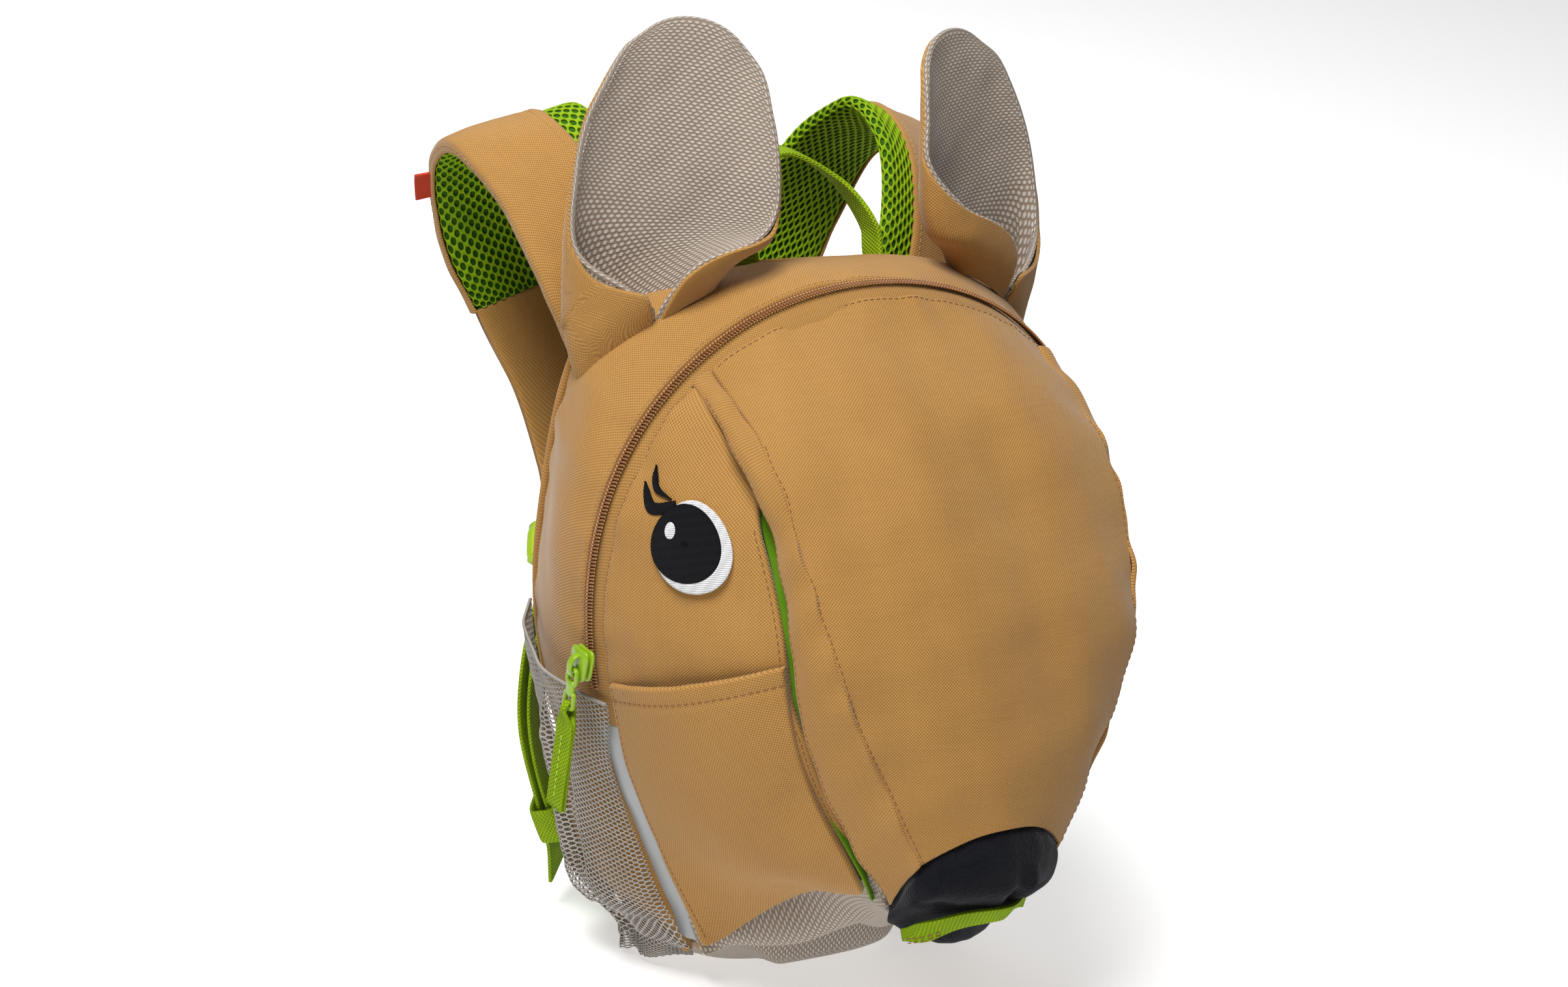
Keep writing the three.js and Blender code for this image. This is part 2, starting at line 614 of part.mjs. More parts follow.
// The coil stands on the tape as a low rounded bar.
function coilSection(s) {
  const half = COIL.width / 2 / (2 * ZIP_HALF);
  const corners = [[-half, 0.4], [half, 0.4], [half * 0.7, COIL.height], [-half * 0.7, COIL.height]];
  return corners.map(([w, rise]) => seamBand(s, 0.5 + w, rise));
}

// The rows of a half path followed by their mirror images.
const acrossMiddle = (rows) => [...rows, ...rows.slice(0, -1).reverse().map(([x, y, z]) => [-x, y, z])];

// The net pocket over the side band, gathered at its top edge and standing a little open.
const netPoint = (u, v) => gussetPoint(lerp(lerp(...NET_TOP, v), 0.985, u), lerp(0.03, 0.97, v));
const netRise = (extra) => (u, v) => extra + LAYER + NET_OPEN * (1 - u) * Math.sin(Math.PI * v);

const COLOURS = {
  brown: 0xb0834a,
  beige: 0xb3a290,
  green: 0x7fc21e,
  lime: 0x9ccb1b,
  black: 0x17181c,
  grey: 0x9c978e,
  silver: 0x9aa0a4,
  zip: 0x8f4a26,
  white: 0xf0f0ee,
  red: 0xc8382a,
};

const backpack = new THREE.Group();
backpack.name = "kids_backpack";

function add(name, geometry, colour, roughness = 0.85) {
  const material = new THREE.MeshStandardMaterial({ color: COLOURS[colour], roughness, metalness: 0 });
  const mesh = new THREE.Mesh(geometry, material);
  mesh.name = name;
  backpack.add(mesh);
}

// The same body on the other side of the middle plane.
function mirrored(geometry) {
  const copy = geometry.clone().scale(-1, 1, 1);
  const index = copy.index ?? new THREE.BufferAttribute(
    Uint32Array.from({ length: copy.attributes.position.count }, (_, k) => k), 1,
  );
  const turned = [];
  for (let k = 0; k < index.count; k += 3) {
    turned.push(index.getX(k), index.getX(k + 2), index.getX(k + 1));
  }
  return copy.setIndex(turned);
}

function addPair(name, geometry, colour, roughness) {
  add(name.replace("SIDE", "right"), geometry, colour, roughness);
  add(name.replace("SIDE", "left"), mirrored(geometry), colour, roughness);
}

// Body
add("base", baseTray(), "beige");
add("gusset", panel((u, v) => gussetPoint(2 * u - 1, v), 36, 5, CLOTH), "brown");
add("back_panel", backPanel(), "brown");
addPair("cheek_SIDE", panel((u, v) => cheekPoint(u, lerp(0.005, 0.995, v)), 14, 5, CLOTH), "brown");
addPair("eye_SIDE", eyePatch(), "black", 0.6);
addPair("cheek_pocket_SIDE", sheet(
  lifted(pocketPoint, pocketRise(POCKET_CLOTH)), lifted(pocketPoint, pocketRise(0)), 9, 5,
), "brown");
addPair("reflective_strip_SIDE", panel(
  (u, v) => seamBand(lerp(ZIP_END + 0.02, 0.985, u), v), 10, 1, 1.2,
), "silver", 0.4);
addPair("mesh_pocket_SIDE", sheet(
  lifted(netPoint, netRise(NET)), lifted(netPoint, netRise(0)), 10, 6,
), "grey");

// Muzzle pocket
add("muzzle_front", panel((u, v) => muzzlePoint(2 * u - 1, v), 14, 13, CLOTH), "brown");
addPair("muzzle_side_SIDE", panel((u, v) => muzzleSidePoint(lerp(0.01, 1, u), v), 14, 2, CLOTH), "brown");
add("front_lining", panel((u, v) => liningPoint(2 * u - 1, v * LINING.end), 8, 12, 1), "green");
add("nose", panel(nosePoint, 14, 9, CLOTH), "black", 0.95);
const [nosePath, noseAcross] = ["at", "across"].map((name) => (
  spline(acrossMiddle(NOSE_WEBBING.map((row) => row[name])))
));
add("nose_webbing", sweep(nosePath, noseAcross, 16, () => flat(NOSE_WEBBING_WIDTH, WEBBING.thick)), "green");

// Zip
add("zip_tape", panel((u, v) => seamBand(lerp(-ZIP_END, ZIP_END, u), v), ZIP_STEPS, 2, 1), "zip");
add("zip_coil", loft(Array.from(
  { length: ZIP_STEPS + 1 }, (_, k) => coilSection(lerp(-ZIP_END, ZIP_END, k / ZIP_STEPS)),
)), "zip", 0.5);
add("zip_slider", zipSlider(), "lime", 0.4);
add("zip_pull", zipPull(), "lime", 0.4);
add("zip_tab", zipTab(), "green");

// Ears
addPair("ear_SIDE_back", earLayer(-GAP / 2, -GAP / 2 - EAR_CLOTH), "brown");
addPair("ear_SIDE_front", earLayer(GAP / 2, GAP / 2 + EAR_CLOTH), "beige");

// Straps
addPair("strap_SIDE_pad", sweep(
  strapPath, strapAcross, 18, () => padded(PAD.width, PAD.thick), 0, PAD_SPLIT,
), "green");
addPair("strap_SIDE_cover", sheet(
  coverFace(COVER.to), coverFace(COVER.from), 18, COVER_ANGLES.length - 1,
), "brown");
addPair("strap_SIDE_tail", strapTail(), "brown");
add("strap_label", mirrored(sweep(strapPath, strapAcross, 2, labelSection, ...LABEL.span)), "red");
addPair("ladder_lock_SIDE", ladderLock(), "lime", 0.4);
addPair("anchor_webbing_SIDE", webbing(anchorPath), "green");
addPair("free_webbing_SIDE", webbing(freePath), "green");
addPair("keeper_SIDE", keeper(), "green");
add("haul_loop", sweep(
  spline(acrossMiddle(HAUL)), fixedAcross([0, 1, 0]), 20, () => flat(HAUL_WEBBING.width, HAUL_WEBBING.thick),
), "green");

export default backpack;
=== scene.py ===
"""The looks of a child's backpack made like a fawn's head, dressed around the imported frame.

Shapes are worked out in millimetres in the part's own frame and become metres in piece().
The +X side is built first, and its twin is mirrored with wrinkles of its own.
"""
import math

import bpy
import numpy as np
from mathutils import Matrix, Vector


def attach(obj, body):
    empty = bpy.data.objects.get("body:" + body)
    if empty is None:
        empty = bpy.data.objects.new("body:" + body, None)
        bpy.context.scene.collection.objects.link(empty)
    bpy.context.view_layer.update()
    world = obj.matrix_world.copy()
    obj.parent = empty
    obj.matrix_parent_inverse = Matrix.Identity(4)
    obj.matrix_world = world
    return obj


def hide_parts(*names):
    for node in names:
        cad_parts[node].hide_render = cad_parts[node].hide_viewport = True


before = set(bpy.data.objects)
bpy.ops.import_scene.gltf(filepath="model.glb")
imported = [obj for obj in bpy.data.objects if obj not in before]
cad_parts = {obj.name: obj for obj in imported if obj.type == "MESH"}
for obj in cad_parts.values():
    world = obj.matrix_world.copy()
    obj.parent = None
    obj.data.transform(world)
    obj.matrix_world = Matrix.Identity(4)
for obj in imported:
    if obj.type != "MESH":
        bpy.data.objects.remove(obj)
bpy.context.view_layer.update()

# Sizes of the part
MM = 0.001
# Thickness of each kind of cloth
CLOTH = {
    "panel": 1.2, "pocket": 1.4, "fleece": 1.4, "cover": 1.1,
    "reflective": 0.9, "thin": 0.8, "ear": 0.7,
}
GAP = 0.6
LAYER = 1.4
BASE_RIM = 13
BASE_FRONT_RISE = 13
BASE_FRONT_END = 1.004
BASE = {"half_width": 55, "half_depth": 33, "centre_y": -18, "corner": 9, "rocker": 3, "flank": 0.79}
BASE_ROUND = {1: 3.2, -1: 2.4}
# Scale and height of the base's rings, from underneath over the rim to the inside
BASE_PROFILE = [
    (0.6, 0.0), (0.9, 0.0), (0.93, 0.3), (0.95, 1.4), (0.966, 3), (0.978, 5), (0.987, 7.5), (0.995, 10),
    (1.0, 12), (0.99, 13.6), (0.965, 14.8), (0.93, 15.6), (0.89, 16.0), (0.86, 15.5),
    (0.86, 9), (0.84, 3),
]
FRONT = {"foot": 49, "half": 106, "widest": 166, "top": 263, "shoulder": 0.58}
BACK = {"foot": 48, "half": 97, "widest": 162, "top": 256, "shoulder": 0.92}
FRONT_Y = -47
FRONT_LEAN = 0.05
BACK_Y = 14
BACK_PAD = 5
# Scale and depth of the rings round the back panel's bound edge
BACK_EDGE = [
    (0.985, 0.0), (1.0, 0.5), (1.004, 1.4), (1.0, 2.2),
    (0.985, 3.0), (0.965, 3.4), (0.955, 2.9), (0.945, 3.1),
]
GUSSET_BULGE = 4
GUSSET_BELLY = 10
GUSSET_END = 1.012
ZIP_HALF = 4.2
ZIP_INSET = 2.5
ZIP_END = 0.6
ZIP_STOP = 0.632
TAPE_END = 0.7
REFLECTIVE_START = 0.68
COIL = {"height": 2, "pitch": 1.25, "shift": 1.2}
SLIDER = {"width": 9, "length": 11, "thick": 3.6, "bridge": 2.2, "window": 2.8, "above": 1.6}
PULL = {"width": 7, "length": 16, "thick": 1.6, "bar": 1.4, "eye": 4.4}
TAB = {"width": 10, "length": 38, "thick": 1.2, "clear": 0.5, "neck": 6}
WEBBING = {"width": 20, "thick": 1.6}
PAD = {"width": 47, "thick": 7}
PAD_ROUND = 0.5
MESH_TURN = (92, 354)
TAIL = {"from": 6, "to": 3}
PAD_SPLIT = 0.667
COVER = {"out": 1.7, "start": 98, "end": -12}
LABEL = {"width": 5, "thick": 1, "clear": 2.4, "span": (0.466, 0.5)}
LOCK = {"at": (75, 34, 139), "width": 28, "length": 19, "thick": 4.4, "bar": 3.2}
KEEPER = {"at": 0.63, "width": 26, "thick": 14, "length": 15, "wall": 1.2}
HAUL_WEBBING = {"width": 11, "thick": 2}
NOSE_WEBBING_WIDTH = 11
NOSE_WEBBING_SPAN = (0.17, 0.94)
NOSE_WEBBING_LIFT = (-3, 3, 3.5)
NET = {
    "top": (0.645, 0.6), "foot": 0.985, "open": 6, "gather": 1.35,
    "length": 128, "width": 60, "skirt": 16, "belly": 13, "hang": 1.4,
    "front": -0.04, "mouth": 0.14, "heel": 0.07, "back": (0.97, 0.8), "under": (3, 7, 9),
}
# Place across, width and height of the net's long folds
NET_CREASES = [(31, 3.0, 3.6), (24.5, 2.4, -3.0)]
CHEEK_TOP_X = 78
CHEEK_BULGE = 5
CHEEK_OUT = (0.85, -0.52, 0)
CHIN = (0, -9, -8)
# Waves and rolled edges fade where a panel is narrower than this
NARROW = (2, 30)
POCKET = {"hem": (0.485, 0.42), "foot": (0.985, 0.765), "open": 3, "stitched": 6}
# Dents in the cheek pocket, from one place to another
POCKET_DENTS = ((0.5, 0.97, 0.66, 0.5), (0.64, 0.98, 0.8, 0.6), (0.8, 0.98, 0.86, 0.6))
LINING = {"end": 0.9, "crown": 24, "bow": 25, "inset": 2.5, "shown": 3.5}
EAR_FOOT = (69, 5)
EAR_TURN = (-9, -8, 22)
EAR_CLOTH = 1.4
EAR_ROUNDING = 0.05
EAR_CLEAR = 5.5
EAR_FOLD = {1: 178, -1: 0}
EAR_REACH = {1: 0.955, -1: 1.0}
CORE = np.array([0.0, -20.0, 141.0])
Y_AXIS, Z_AXIS = np.array([0.0, 1.0, 0.0]), np.array([0.0, 0.0, 1.0])
OUT = np.array([-1.0, 0.0, 0.0])

# An eye's place on the cheek, and its embroidery in millimetres from there
EYE = {"along": 0.25, "across": 0.5}
EYE_DISCS = {
    "white": {"centre": (2.4, -1.0), "size": (13.9, 15.6), "base": 0.9, "rise": 0.35},
    "black": {"centre": (0, 0), "size": (12.8, 13.3), "base": 1.15, "rise": 0.45},
    "glint": {"centre": (-5.5, 4.0), "size": (2.0, 2.8), "base": 1.75, "rise": 0.3},
}
# Radius, drop and share of the rise, from a disc's edge to its middle
EYE_DOME = [
    (0.9, -1.4, 0), (1.0, 0, 0), (0.985, 0, 0.7), (0.94, 0, 1),
    (0.8, 0, 1.15), (0.5, 0, 1.3), (0.1, 0, 1.35),
]
LASH_BASE = 0.9
LASH_RISE = 0.7
LASHES = [
    {
        "rows": [(-6.9, 14.3), (-14.4, 17.4), (-16.6, 20.8), (-18.1, 25.3)],
        "widths": [0.4, 2.6, 3.0, 0.3],
    },
    {
        "rows": [(-4.7, 13.1), (-8.2, 11.5), (-14.7, 10.8), (-18.8, 15.7), (-21.0, 19.2)],
        "widths": [2.2, 3.8, 4.2, 3, 0.3],
    },
]

# Half sections of the face from the zip down: seam, slit, cheek edge and centre line
FACE = [
    {"seam": (71, -43, 236), "slit": (78, -44, 227), "edge": (76, -43, 226), "ridge": (0, -40, 261)},
    {"seam": (70, -82, 220), "slit": (75, -73, 215.5), "edge": (71, -69, 214), "ridge": (0, -81, 236)},
    {"seam": (69, -105, 196), "slit": (71, -92, 194), "edge": (70, -89, 192), "ridge": (0, -113, 205)},
    {"seam": (65, -122, 172), "slit": (71, -107, 168), "edge": (68, -103, 167), "ridge": (0, -136, 176)},
    {"seam": (54, -134, 140), "slit": (65, -116, 134), "edge": (60, -106, 136), "ridge": (0, -149, 143)},
    {"seam": (43, -139, 120), "slit": (53, -122, 107), "edge": (50, -103, 115), "ridge": (0, -154, 126)},
    {"seam": (30, -146, 95), "slit": (29, -131, 72), "edge": (36, -99, 89), "ridge": (0, -156, 109)},
]
CHEEK_FOOT = [(7, -86, 58), (3, -53, 28.5)]
# The sewn edge of the cheek hugs the slit from here down to the nose
CHEEK_LIP = [(62, -110, 135), (52, -115, 109), (32, -123, 77), (8, -88, 57), (3, -54, 28.5)]
SLIT_OPENS = (0.08, 0.24)
MUZZLE_ROUND = 2.2
MUZZLE_SIDE_BULGE = 1.4
TUCK = 5
GAPE = 2.0
MEET_FADE = 0.2
SEAM_WAVE = (0.42, 0.46, 0.2)

# Sections of the nose from its top edge round to the underside
NOSE = [
    {"side": (28.6, -129.4, 70), "corner": (29.6, -146, 92.8), "middle": (0, -156, 107.2)},
    {"side": (27, -129, 66), "corner": (28, -147, 82), "middle": (0, -159, 92)},
    {"side": (24, -126, 62.5), "corner": (22.5, -140, 71), "middle": (0, -149, 74)},
    {"side": (20, -120, 59), "corner": (19, -131, 62), "middle": (0, -137, 62)},
    {"side": (17, -106, 57), "corner": (15, -111, 56), "middle": (0, -114, 55)},
    {"side": (14, -96, 56), "corner": (11, -96, 55), "middle": (0, -97, 54)},
]
NOSE_NARROWS = 0.45
# Folds of the nose: both ends, width and height
NOSE_FOLDS = [
    ((-24, -131, 61), (14, -137, 62), 6.5, 5.0),
    ((-30, -147, 88), (14, -158, 88), 3.2, 2.6),
    ((-30, -147, 80), (26, -149, 80), 2.6, -2.8),
    ((-27, -148, 90), (-8, -157, 100), 2.2, -2.2),
    ((8, -158, 96), (12, -152, 78), 2.4, 2.6),
    ((4, -158, 94), (6, -152, 76), 2.2, -2.4),
]
NOSE_WEBBING = [
    {"at": (26.5, -134, 60.5), "across": (0, 0.2, 1)},
    {"at": (24, -144.5, 66.5), "across": (0, -0.1, 1)},
    {"at": (12, -150, 72.5), "across": (0, -0.45, 1)},
    {"at": (0, -152.4, 74), "across": (0, -0.55, 1)},
]

# Sections of an ear from foot to tip
EAR = [
    {"up": 0, "half": 20, "deep": 8, "wrap": 177},
    {"up": 14, "half": 26, "deep": 11, "wrap": 168},
    {"up": 30, "half": 33, "deep": 12, "wrap": 124},
    {"up": 48, "half": 36, "deep": 12, "wrap": 88},
    {"up": 68, "half": 35, "deep": 12, "wrap": 78},
    {"up": 87, "half": 30, "deep": 10, "wrap": 74},
    {"up": 102, "half": 26, "deep": 8, "wrap": 62},
    {"up": 110, "half": 22, "deep": 5, "wrap": 45},
]

# A shoulder strap: its middle line and the direction of its width
STRAP = [
    {"at": (61, 25.5, 229), "across": (0.9, 0, -0.42)},
    {"at": (71, 39, 256), "across": (0.9, 0.1, -0.4)},
    {"at": (78, 62, 279), "across": (0.88, 0.3, -0.36)},
    {"at": (81, 88, 285), "across": (0.86, 0.36, -0.36)},
    {"at": (76, 109, 271), "across": (0.88, 0.3, -0.36)},
    {"at": (66, 118, 242), "across": (0.95, 0.1, -0.28)},
    {"at": (53, 114, 214), "across": (0.98, -0.05, -0.15)},
    {"at": (48, 96, 185), "across": (0.98, -0.15, 0)},
    {"at": (56, 66, 160), "across": (0.97, -0.2, 0.1)},
    {"at": (69, 42, 146), "across": (0.9, -0.4, 0.1)},
]
ANCHOR = [(77, 31, 128), (82, 27, 103), (81, 25, 79), (69, 24, 45), (57, 21, 23), (45, 13.5, 10)]
FREE_TIP = [(64, 29, 28), (60, 31, 13)]
FREE_SHIFT = (2.6, 2.5, 0)
WEBBING_ACROSS = (-0.72, 0.69, 0)
HAUL_SPAN = (-0.06, 1.06)
HAUL = [(27, 9, 259), (27, 14, 268), (19, 30, 282), (0, 38, 290)]

# The camera stands where the photograph was taken from
CAMERA = {
    "at": (-723.1, -990.7, 615.2),
    "right": (0.8296, -0.5412, 0.1375),
    "up": (0.0799, 0.3587, 0.9300),
    "forward": (0.5526, 0.7606, -0.3408),
    "lens": 81.93,
    "sensor": 36,
}

SKY = {"light": 0.17, "seen": 0.9}
FLOOR = {"radius": 6, "glow": 0.45}
AIM = (0, -0.04, 0.16)
LIGHTS = {
    "key": {"at": (-0.8, -0.3, 1.8), "size": 0.9, "power": 42},
    "bounce": {"at": (-0.5, -0.8, -1.0), "size": 2.4, "power": 28},
    "fill": {"at": (1.6, -1.2, 0.9), "size": 1.4, "power": 0.6},
    "rim": {"at": (0.4, 1.4, 1.5), "size": 1.0, "power": 8},
}

EDGE_STEPS = (0, 0.4, 0.9, 1.5, 2.3, 3.2, 4.4)
# Length and width of each panel before it is shaped, each with the step of its grid
GRIDS = {
    "gusset": ((690, 2.4), (64, 2.2)),
    "cheek": ((330, 2.5), (95, 2.2)),
    "base_front": ((60, 1.8), (95, 1.9)),
    "cheek_pocket": ((150, 1.8), (90, 1.9)),
    "reflective": ((130, 2.4), (9, 1.2, EDGE_STEPS[:4])),
    "muzzle": ((190, 1.9), (205, 1.9)),
    "muzzle_side": ((215, 1.8), (20, 1.3)),
    "ear": ((120, 2.1), (118, 2.1)),
}
# Lengths and heights of each panel's waves
WAVES = {
    "gusset": ((70, 1.1), (24, 0.3)),
    "cheek": ((55, 0.9), (20, 0.25)),
    "base_front": ((30, 0.4),),
    "cheek_pocket": ((48, 0.8), (17, 0.2)),
    "reflective": ((26, 0.3),),
    "muzzle": ((80, 1.3), (30, 0.35)),
    "muzzle_side": ((30, 0.5),),
    "lining": ((30, 0.6),),
    "nose": ((26, 0.5), (9, 0.18)),
    "zip_tape": ((24, 0.12),),
    "ear": ((40, 0.7), (15, 0.15)),
    "strap_cover": ((45, 0.5), (16, 0.15)),
}
# Pitch, reach and height of the gathers along each seam
GATHERS = {
    "gusset_front": (16, 7, 0.35),
    "gusset_back": (14, 8, 0.4),
    "cheek": (15, 6, 0.3),
    "pocket_hem": (13, 5, 0.25),
    "muzzle_top": (18, 8, 0.4),
    "muzzle_seam": (26, 9, 1.0),
    "muzzle_side": (24, 8, 0.7),
    "slit": (30, 6, 0.5),
}
STITCH = {"length": 1.9, "gap": 0.8, "width": 0.45, "rise": 0.25}


# Numbers and curves
def lerp(a, b, t):
    return a + (b - a) * t


def smoothstep(x, low, high):
    t = np.clip((x - low) / (high - low), 0, 1)
    return t * t * (3 - 2 * t)


def unit(v):
    return v / np.maximum(np.linalg.norm(v, axis=-1, keepdims=True), 1e-9)


def xyz(x, y, z):
    return np.stack(np.broadcast_arrays(x, y, z), axis=-1).astype(float)


def lengths(points, axis):
    """Length run along one axis of a grid of points, from its start."""
    step = np.linalg.norm(np.diff(points, axis=axis), axis=-1)
    start = np.zeros_like(np.take(step, [0], axis=axis))
    return np.concatenate([start, np.cumsum(step, axis=axis)], axis=axis)


def column(rows, name):
    return [row[name] for row in rows]


def across_middle(rows):
    """Rows of a half path followed by their mirror images."""
    return list(rows) + [(-x, y, z) for x, y, z in reversed(rows[:-1])]


class Spline:
    """A centripetal Catmull-Rom curve through rows of numbers, read at t from 0 to 1."""

    def __init__(self, rows):
        p = np.array(rows, float)
        p = np.vstack([2 * p[0] - p[1], p, 2 * p[-1] - p[-2]])
        step = np.linalg.norm(np.diff(p, axis=0), axis=1) ** 0.5
        step = np.where(step < 1e-4, 1, step)[:, None]
        before, self.start, self.end, after = p[:-3], p[1:-2], p[2:-1], p[3:]
        d0, d1, d2 = step[:-2], step[1:-1], step[2:]
        chord = (self.end - self.start) / d1
        self.leave = d1 * ((self.start - before) / d0 - (self.end - before) / (d0 + d1) + chord)
        self.arrive = d1 * (chord - (after - self.start) / (d1 + d2) + (after - self.end) / d2)

    def parts(self, t):
        place = np.clip(t, 0, 1) * len(self.start)
        k = np.minimum(place.astype(int), len(self.start) - 1)
        a, b, m, n = self.start[k], self.end[k], self.leave[k], self.arrive[k]
        return (place - k)[..., None], a, m, 3 * (b - a) - 2 * m - n, 2 * (a - b) + m + n

    def slope(self, t):
        w, _, c1, c2, c3 = self.parts(np.asarray(t, float))
        return len(self.start) * (c1 + w * (2 * c2 + 3 * w * c3))

    def __call__(self, t):
        t = np.asarray(t, float)
        w, c0, c1, c2, c3 = self.parts(t)
        beyond = (t - np.clip(t, 0, 1))[..., None]
        return c0 + w * (c1 + w * (c2 + w * c3)) + beyond * self.slope(t)


def bezier(t, *corners):
    a, b, c, d = (np.array(corner, float) for corner in corners)
    s = 1 - t
    return a * s**3 + 3 * b * t * s * s + 3 * c * t * t * s + d * t**3


class Arch:
    """Half of a seam seen from the front, from its top (s = 0) to a foot (s = 1 or -1)."""

    def __init__(self, foot, half, widest, top, shoulder):
        t = np.linspace(0, 1, 200)[:, None]
        foot_z = BASE_RIM + 4 * GAP
        low = lerp(foot_z, widest, 0.33)
        high = lerp(foot_z, widest, 0.62)
        lower = bezier(t, (foot, foot_z), (lerp(foot, half, 0.42), low), (half, high), (half, widest))
        corner = lerp(widest, top, shoulder)
        upper = bezier(t, (half, widest), (half, corner), (half * shoulder, top), (0, top))
        line = np.vstack([lower, upper[1:]])[::-1]
        run = lengths(line, 0)
        tail = line[-1] + unit(line[-1] - line[-2]) * 0.1 * run[-1]
        self.line = np.vstack([line, tail])
        self.share = np.append(run / run[-1], 1.1)
        self.out = unit(np.gradient(self.line, axis=0))[:, ::-1] * (-1, 1)

    def at(self, s):
        side = np.where(np.asarray(s) < 0, -1.0, 1.0)
        read = [np.interp(np.abs(s), self.share, values) for values in (*self.line.T, *self.out.T)]
        return side * read[0], read[1], side * read[2], read[3]


FRONT_ARCH = Arch(**FRONT)
BACK_ARCH = Arch(**BACK)
# The ears are set below the crest of the shoulders, on a leaner arch
EAR_ARCH = Arch(**{**BACK, "shoulder": FRONT["shoulder"]})


# Surfaces of the part
def front_y(z):
    return FRONT_Y + FRONT_LEAN * z


def gusset_point(s, v, behind=BACK_ARCH):
    x, z, out_x, out_z = FRONT_ARCH.at(s)
    back_x, back_z, _, _ = behind.at(s)
    fade = 1 - 0.4 * smoothstep(np.abs(s), 0.75, 1)
    lift = GUSSET_BULGE * fade * 4 * v * (1 - v)
    y = lerp(front_y(z) + ZIP_HALF + GAP, BACK_Y, v)
    return xyz(lerp(x, back_x, v) + out_x * lift, y, lerp(z, back_z, v) + out_z * lift)


def seam_band(s, w, rise=0.0):
    x, z, out_x, out_z = FRONT_ARCH.at(s)
    inset = ZIP_INSET * w * w - rise
    return xyz(x - out_x * inset, front_y(z) + ZIP_HALF * (1 - 2 * w), z - out_z * inset)


SEAM_LINE = Spline(column(FACE, "seam"))
SLIT_LINE = Spline(column(FACE, "slit"))
RIDGE_LINE = Spline(column(FACE, "ridge"))
EDGE_LINE = Spline(column(FACE, "edge") + CHEEK_FOOT)
HALF_SHARE = np.linspace(0, 0.5, 400)
LIP_LINE = Spline(column(FACE[:4], "edge") + CHEEK_LIP)
LIP_PACE = (len(FACE[:4] + CHEEK_LIP) - 1) / (len(FACE) - 1)


def arch_share(x):
    """Share of the front arch, from its top, that reaches x."""
    return np.sign(x) * np.interp(np.abs(x), FRONT_ARCH.at(HALF_SHARE)[0], HALF_SHARE)


CHEEK_START = arch_share(CHEEK_TOP_X)


def meet_zip(point, top, along):
    """Bring the top of a panel of the face up to the zip band, less and less further down."""
    target = seam_band(arch_share(top[..., 0]), 1.0) - (0, GAP, 0)
    return point + (1 - smoothstep(along, 0, MEET_FADE))[..., None] * (target - top)


def seam_point(along):
    """The side seam of the muzzle, which wanders where the cloth is gathered into it."""
    wave = np.sin(41 * along + 0.6) + 0.6 * np.sin(68 * along + 2)
    wave = wave * smoothstep(along, 0, 0.08) * (1 - 0.85 * smoothstep(along, 0.3, 0.6))
    return SEAM_LINE(along) + wave[..., None] * np.array(SEAM_WAVE)


def lip_point(along):
    """The front edge of the cheek, which meets the zip beside the muzzle."""
    line = LIP_LINE(along)
    return meet_zip(line, np.broadcast_to(LIP_LINE(0.0), line.shape), along * LIP_PACE)


def cheek_point(along, across):
    outer = seam_band(lerp(CHEEK_START, 1, along), 1.0)
    outer[..., 1] -= GAP
    lift = CHEEK_BULGE * 4 * across * (1 - across) * np.sqrt(np.sin(np.pi * np.clip(along, 0, 1)))
    return lerp(outer, lip_point(along), across[..., None]) + lift[..., None] * np.array(CHEEK_OUT)


def pocket_foot(v):
    return lerp(*POCKET["foot"], np.clip(v, 0, 1) ** 2)


def pocket_point(u, v):
    return cheek_point(lerp(lerp(*POCKET["hem"], v), pocket_foot(v), u), lerp(0.015, 0.965, v))


def belly(u, v):
    """How far the side of the bag swells, from 0 to 1, behind and under the net pocket."""
    return np.sin(np.pi * np.clip(u, 0, 1) ** 3) * np.sin(np.pi * np.clip(v, 0, 1)) ** 0.6


def net_point(u, v, power):
    """The net pocket, which reaches the cheek at both ends and covers the side of the base."""
    front = NET["front"] - NET["mouth"] * (1 - smoothstep(u, 0.02, 0.3))
    front = front - NET["heel"] * smoothstep(u, 0.8, 1)
    back = lerp(*NET["back"], smoothstep(u, 0.75, 1))
    wall = gusset_point(lerp(lerp(*NET["top"], v), NET["foot"], np.minimum(u, 1)), lerp(front, back, v))
    flank = (wall[..., 1] - BASE["centre_y"]) * BASE["flank"]
    round_off = (1 - (np.abs(flank) / BASE["half_depth"]) ** power) ** (1 / power)
    drop = np.clip((u - 0.95) * NET["length"] / NET["skirt"], 0, NET["hang"])
    inward = lerp(1.0, 0.97, drop)
    x = BASE["half_width"] * round_off * inward + 0.4
    low, ahead, behind = NET["under"]
    foot = low + ahead * smoothstep(-flank, 5, 25) + behind * smoothstep(flank, 12, 26)
    height = lerp(BASE_RIM + 1, foot, drop / NET["hang"])
    skirt = xyz(x, BASE["centre_y"] + flank * inward, height)
    return lerp(wall, skirt, smoothstep(u, 0.9, 1.03)[..., None])


def muzzle_point(side, along):
    def section(share):
        seam, ridge = seam_point(share), RIDGE_LINE(share)
        turn = np.abs(side) ** MUZZLE_ROUND
        y = lerp(ridge[..., 1], seam[..., 1], turn)
        return xyz((seam[..., 0] - GAP) * side, y, lerp(ridge[..., 2], seam[..., 2], turn))

    return meet_zip(section(along), section(np.zeros_like(along)), along)


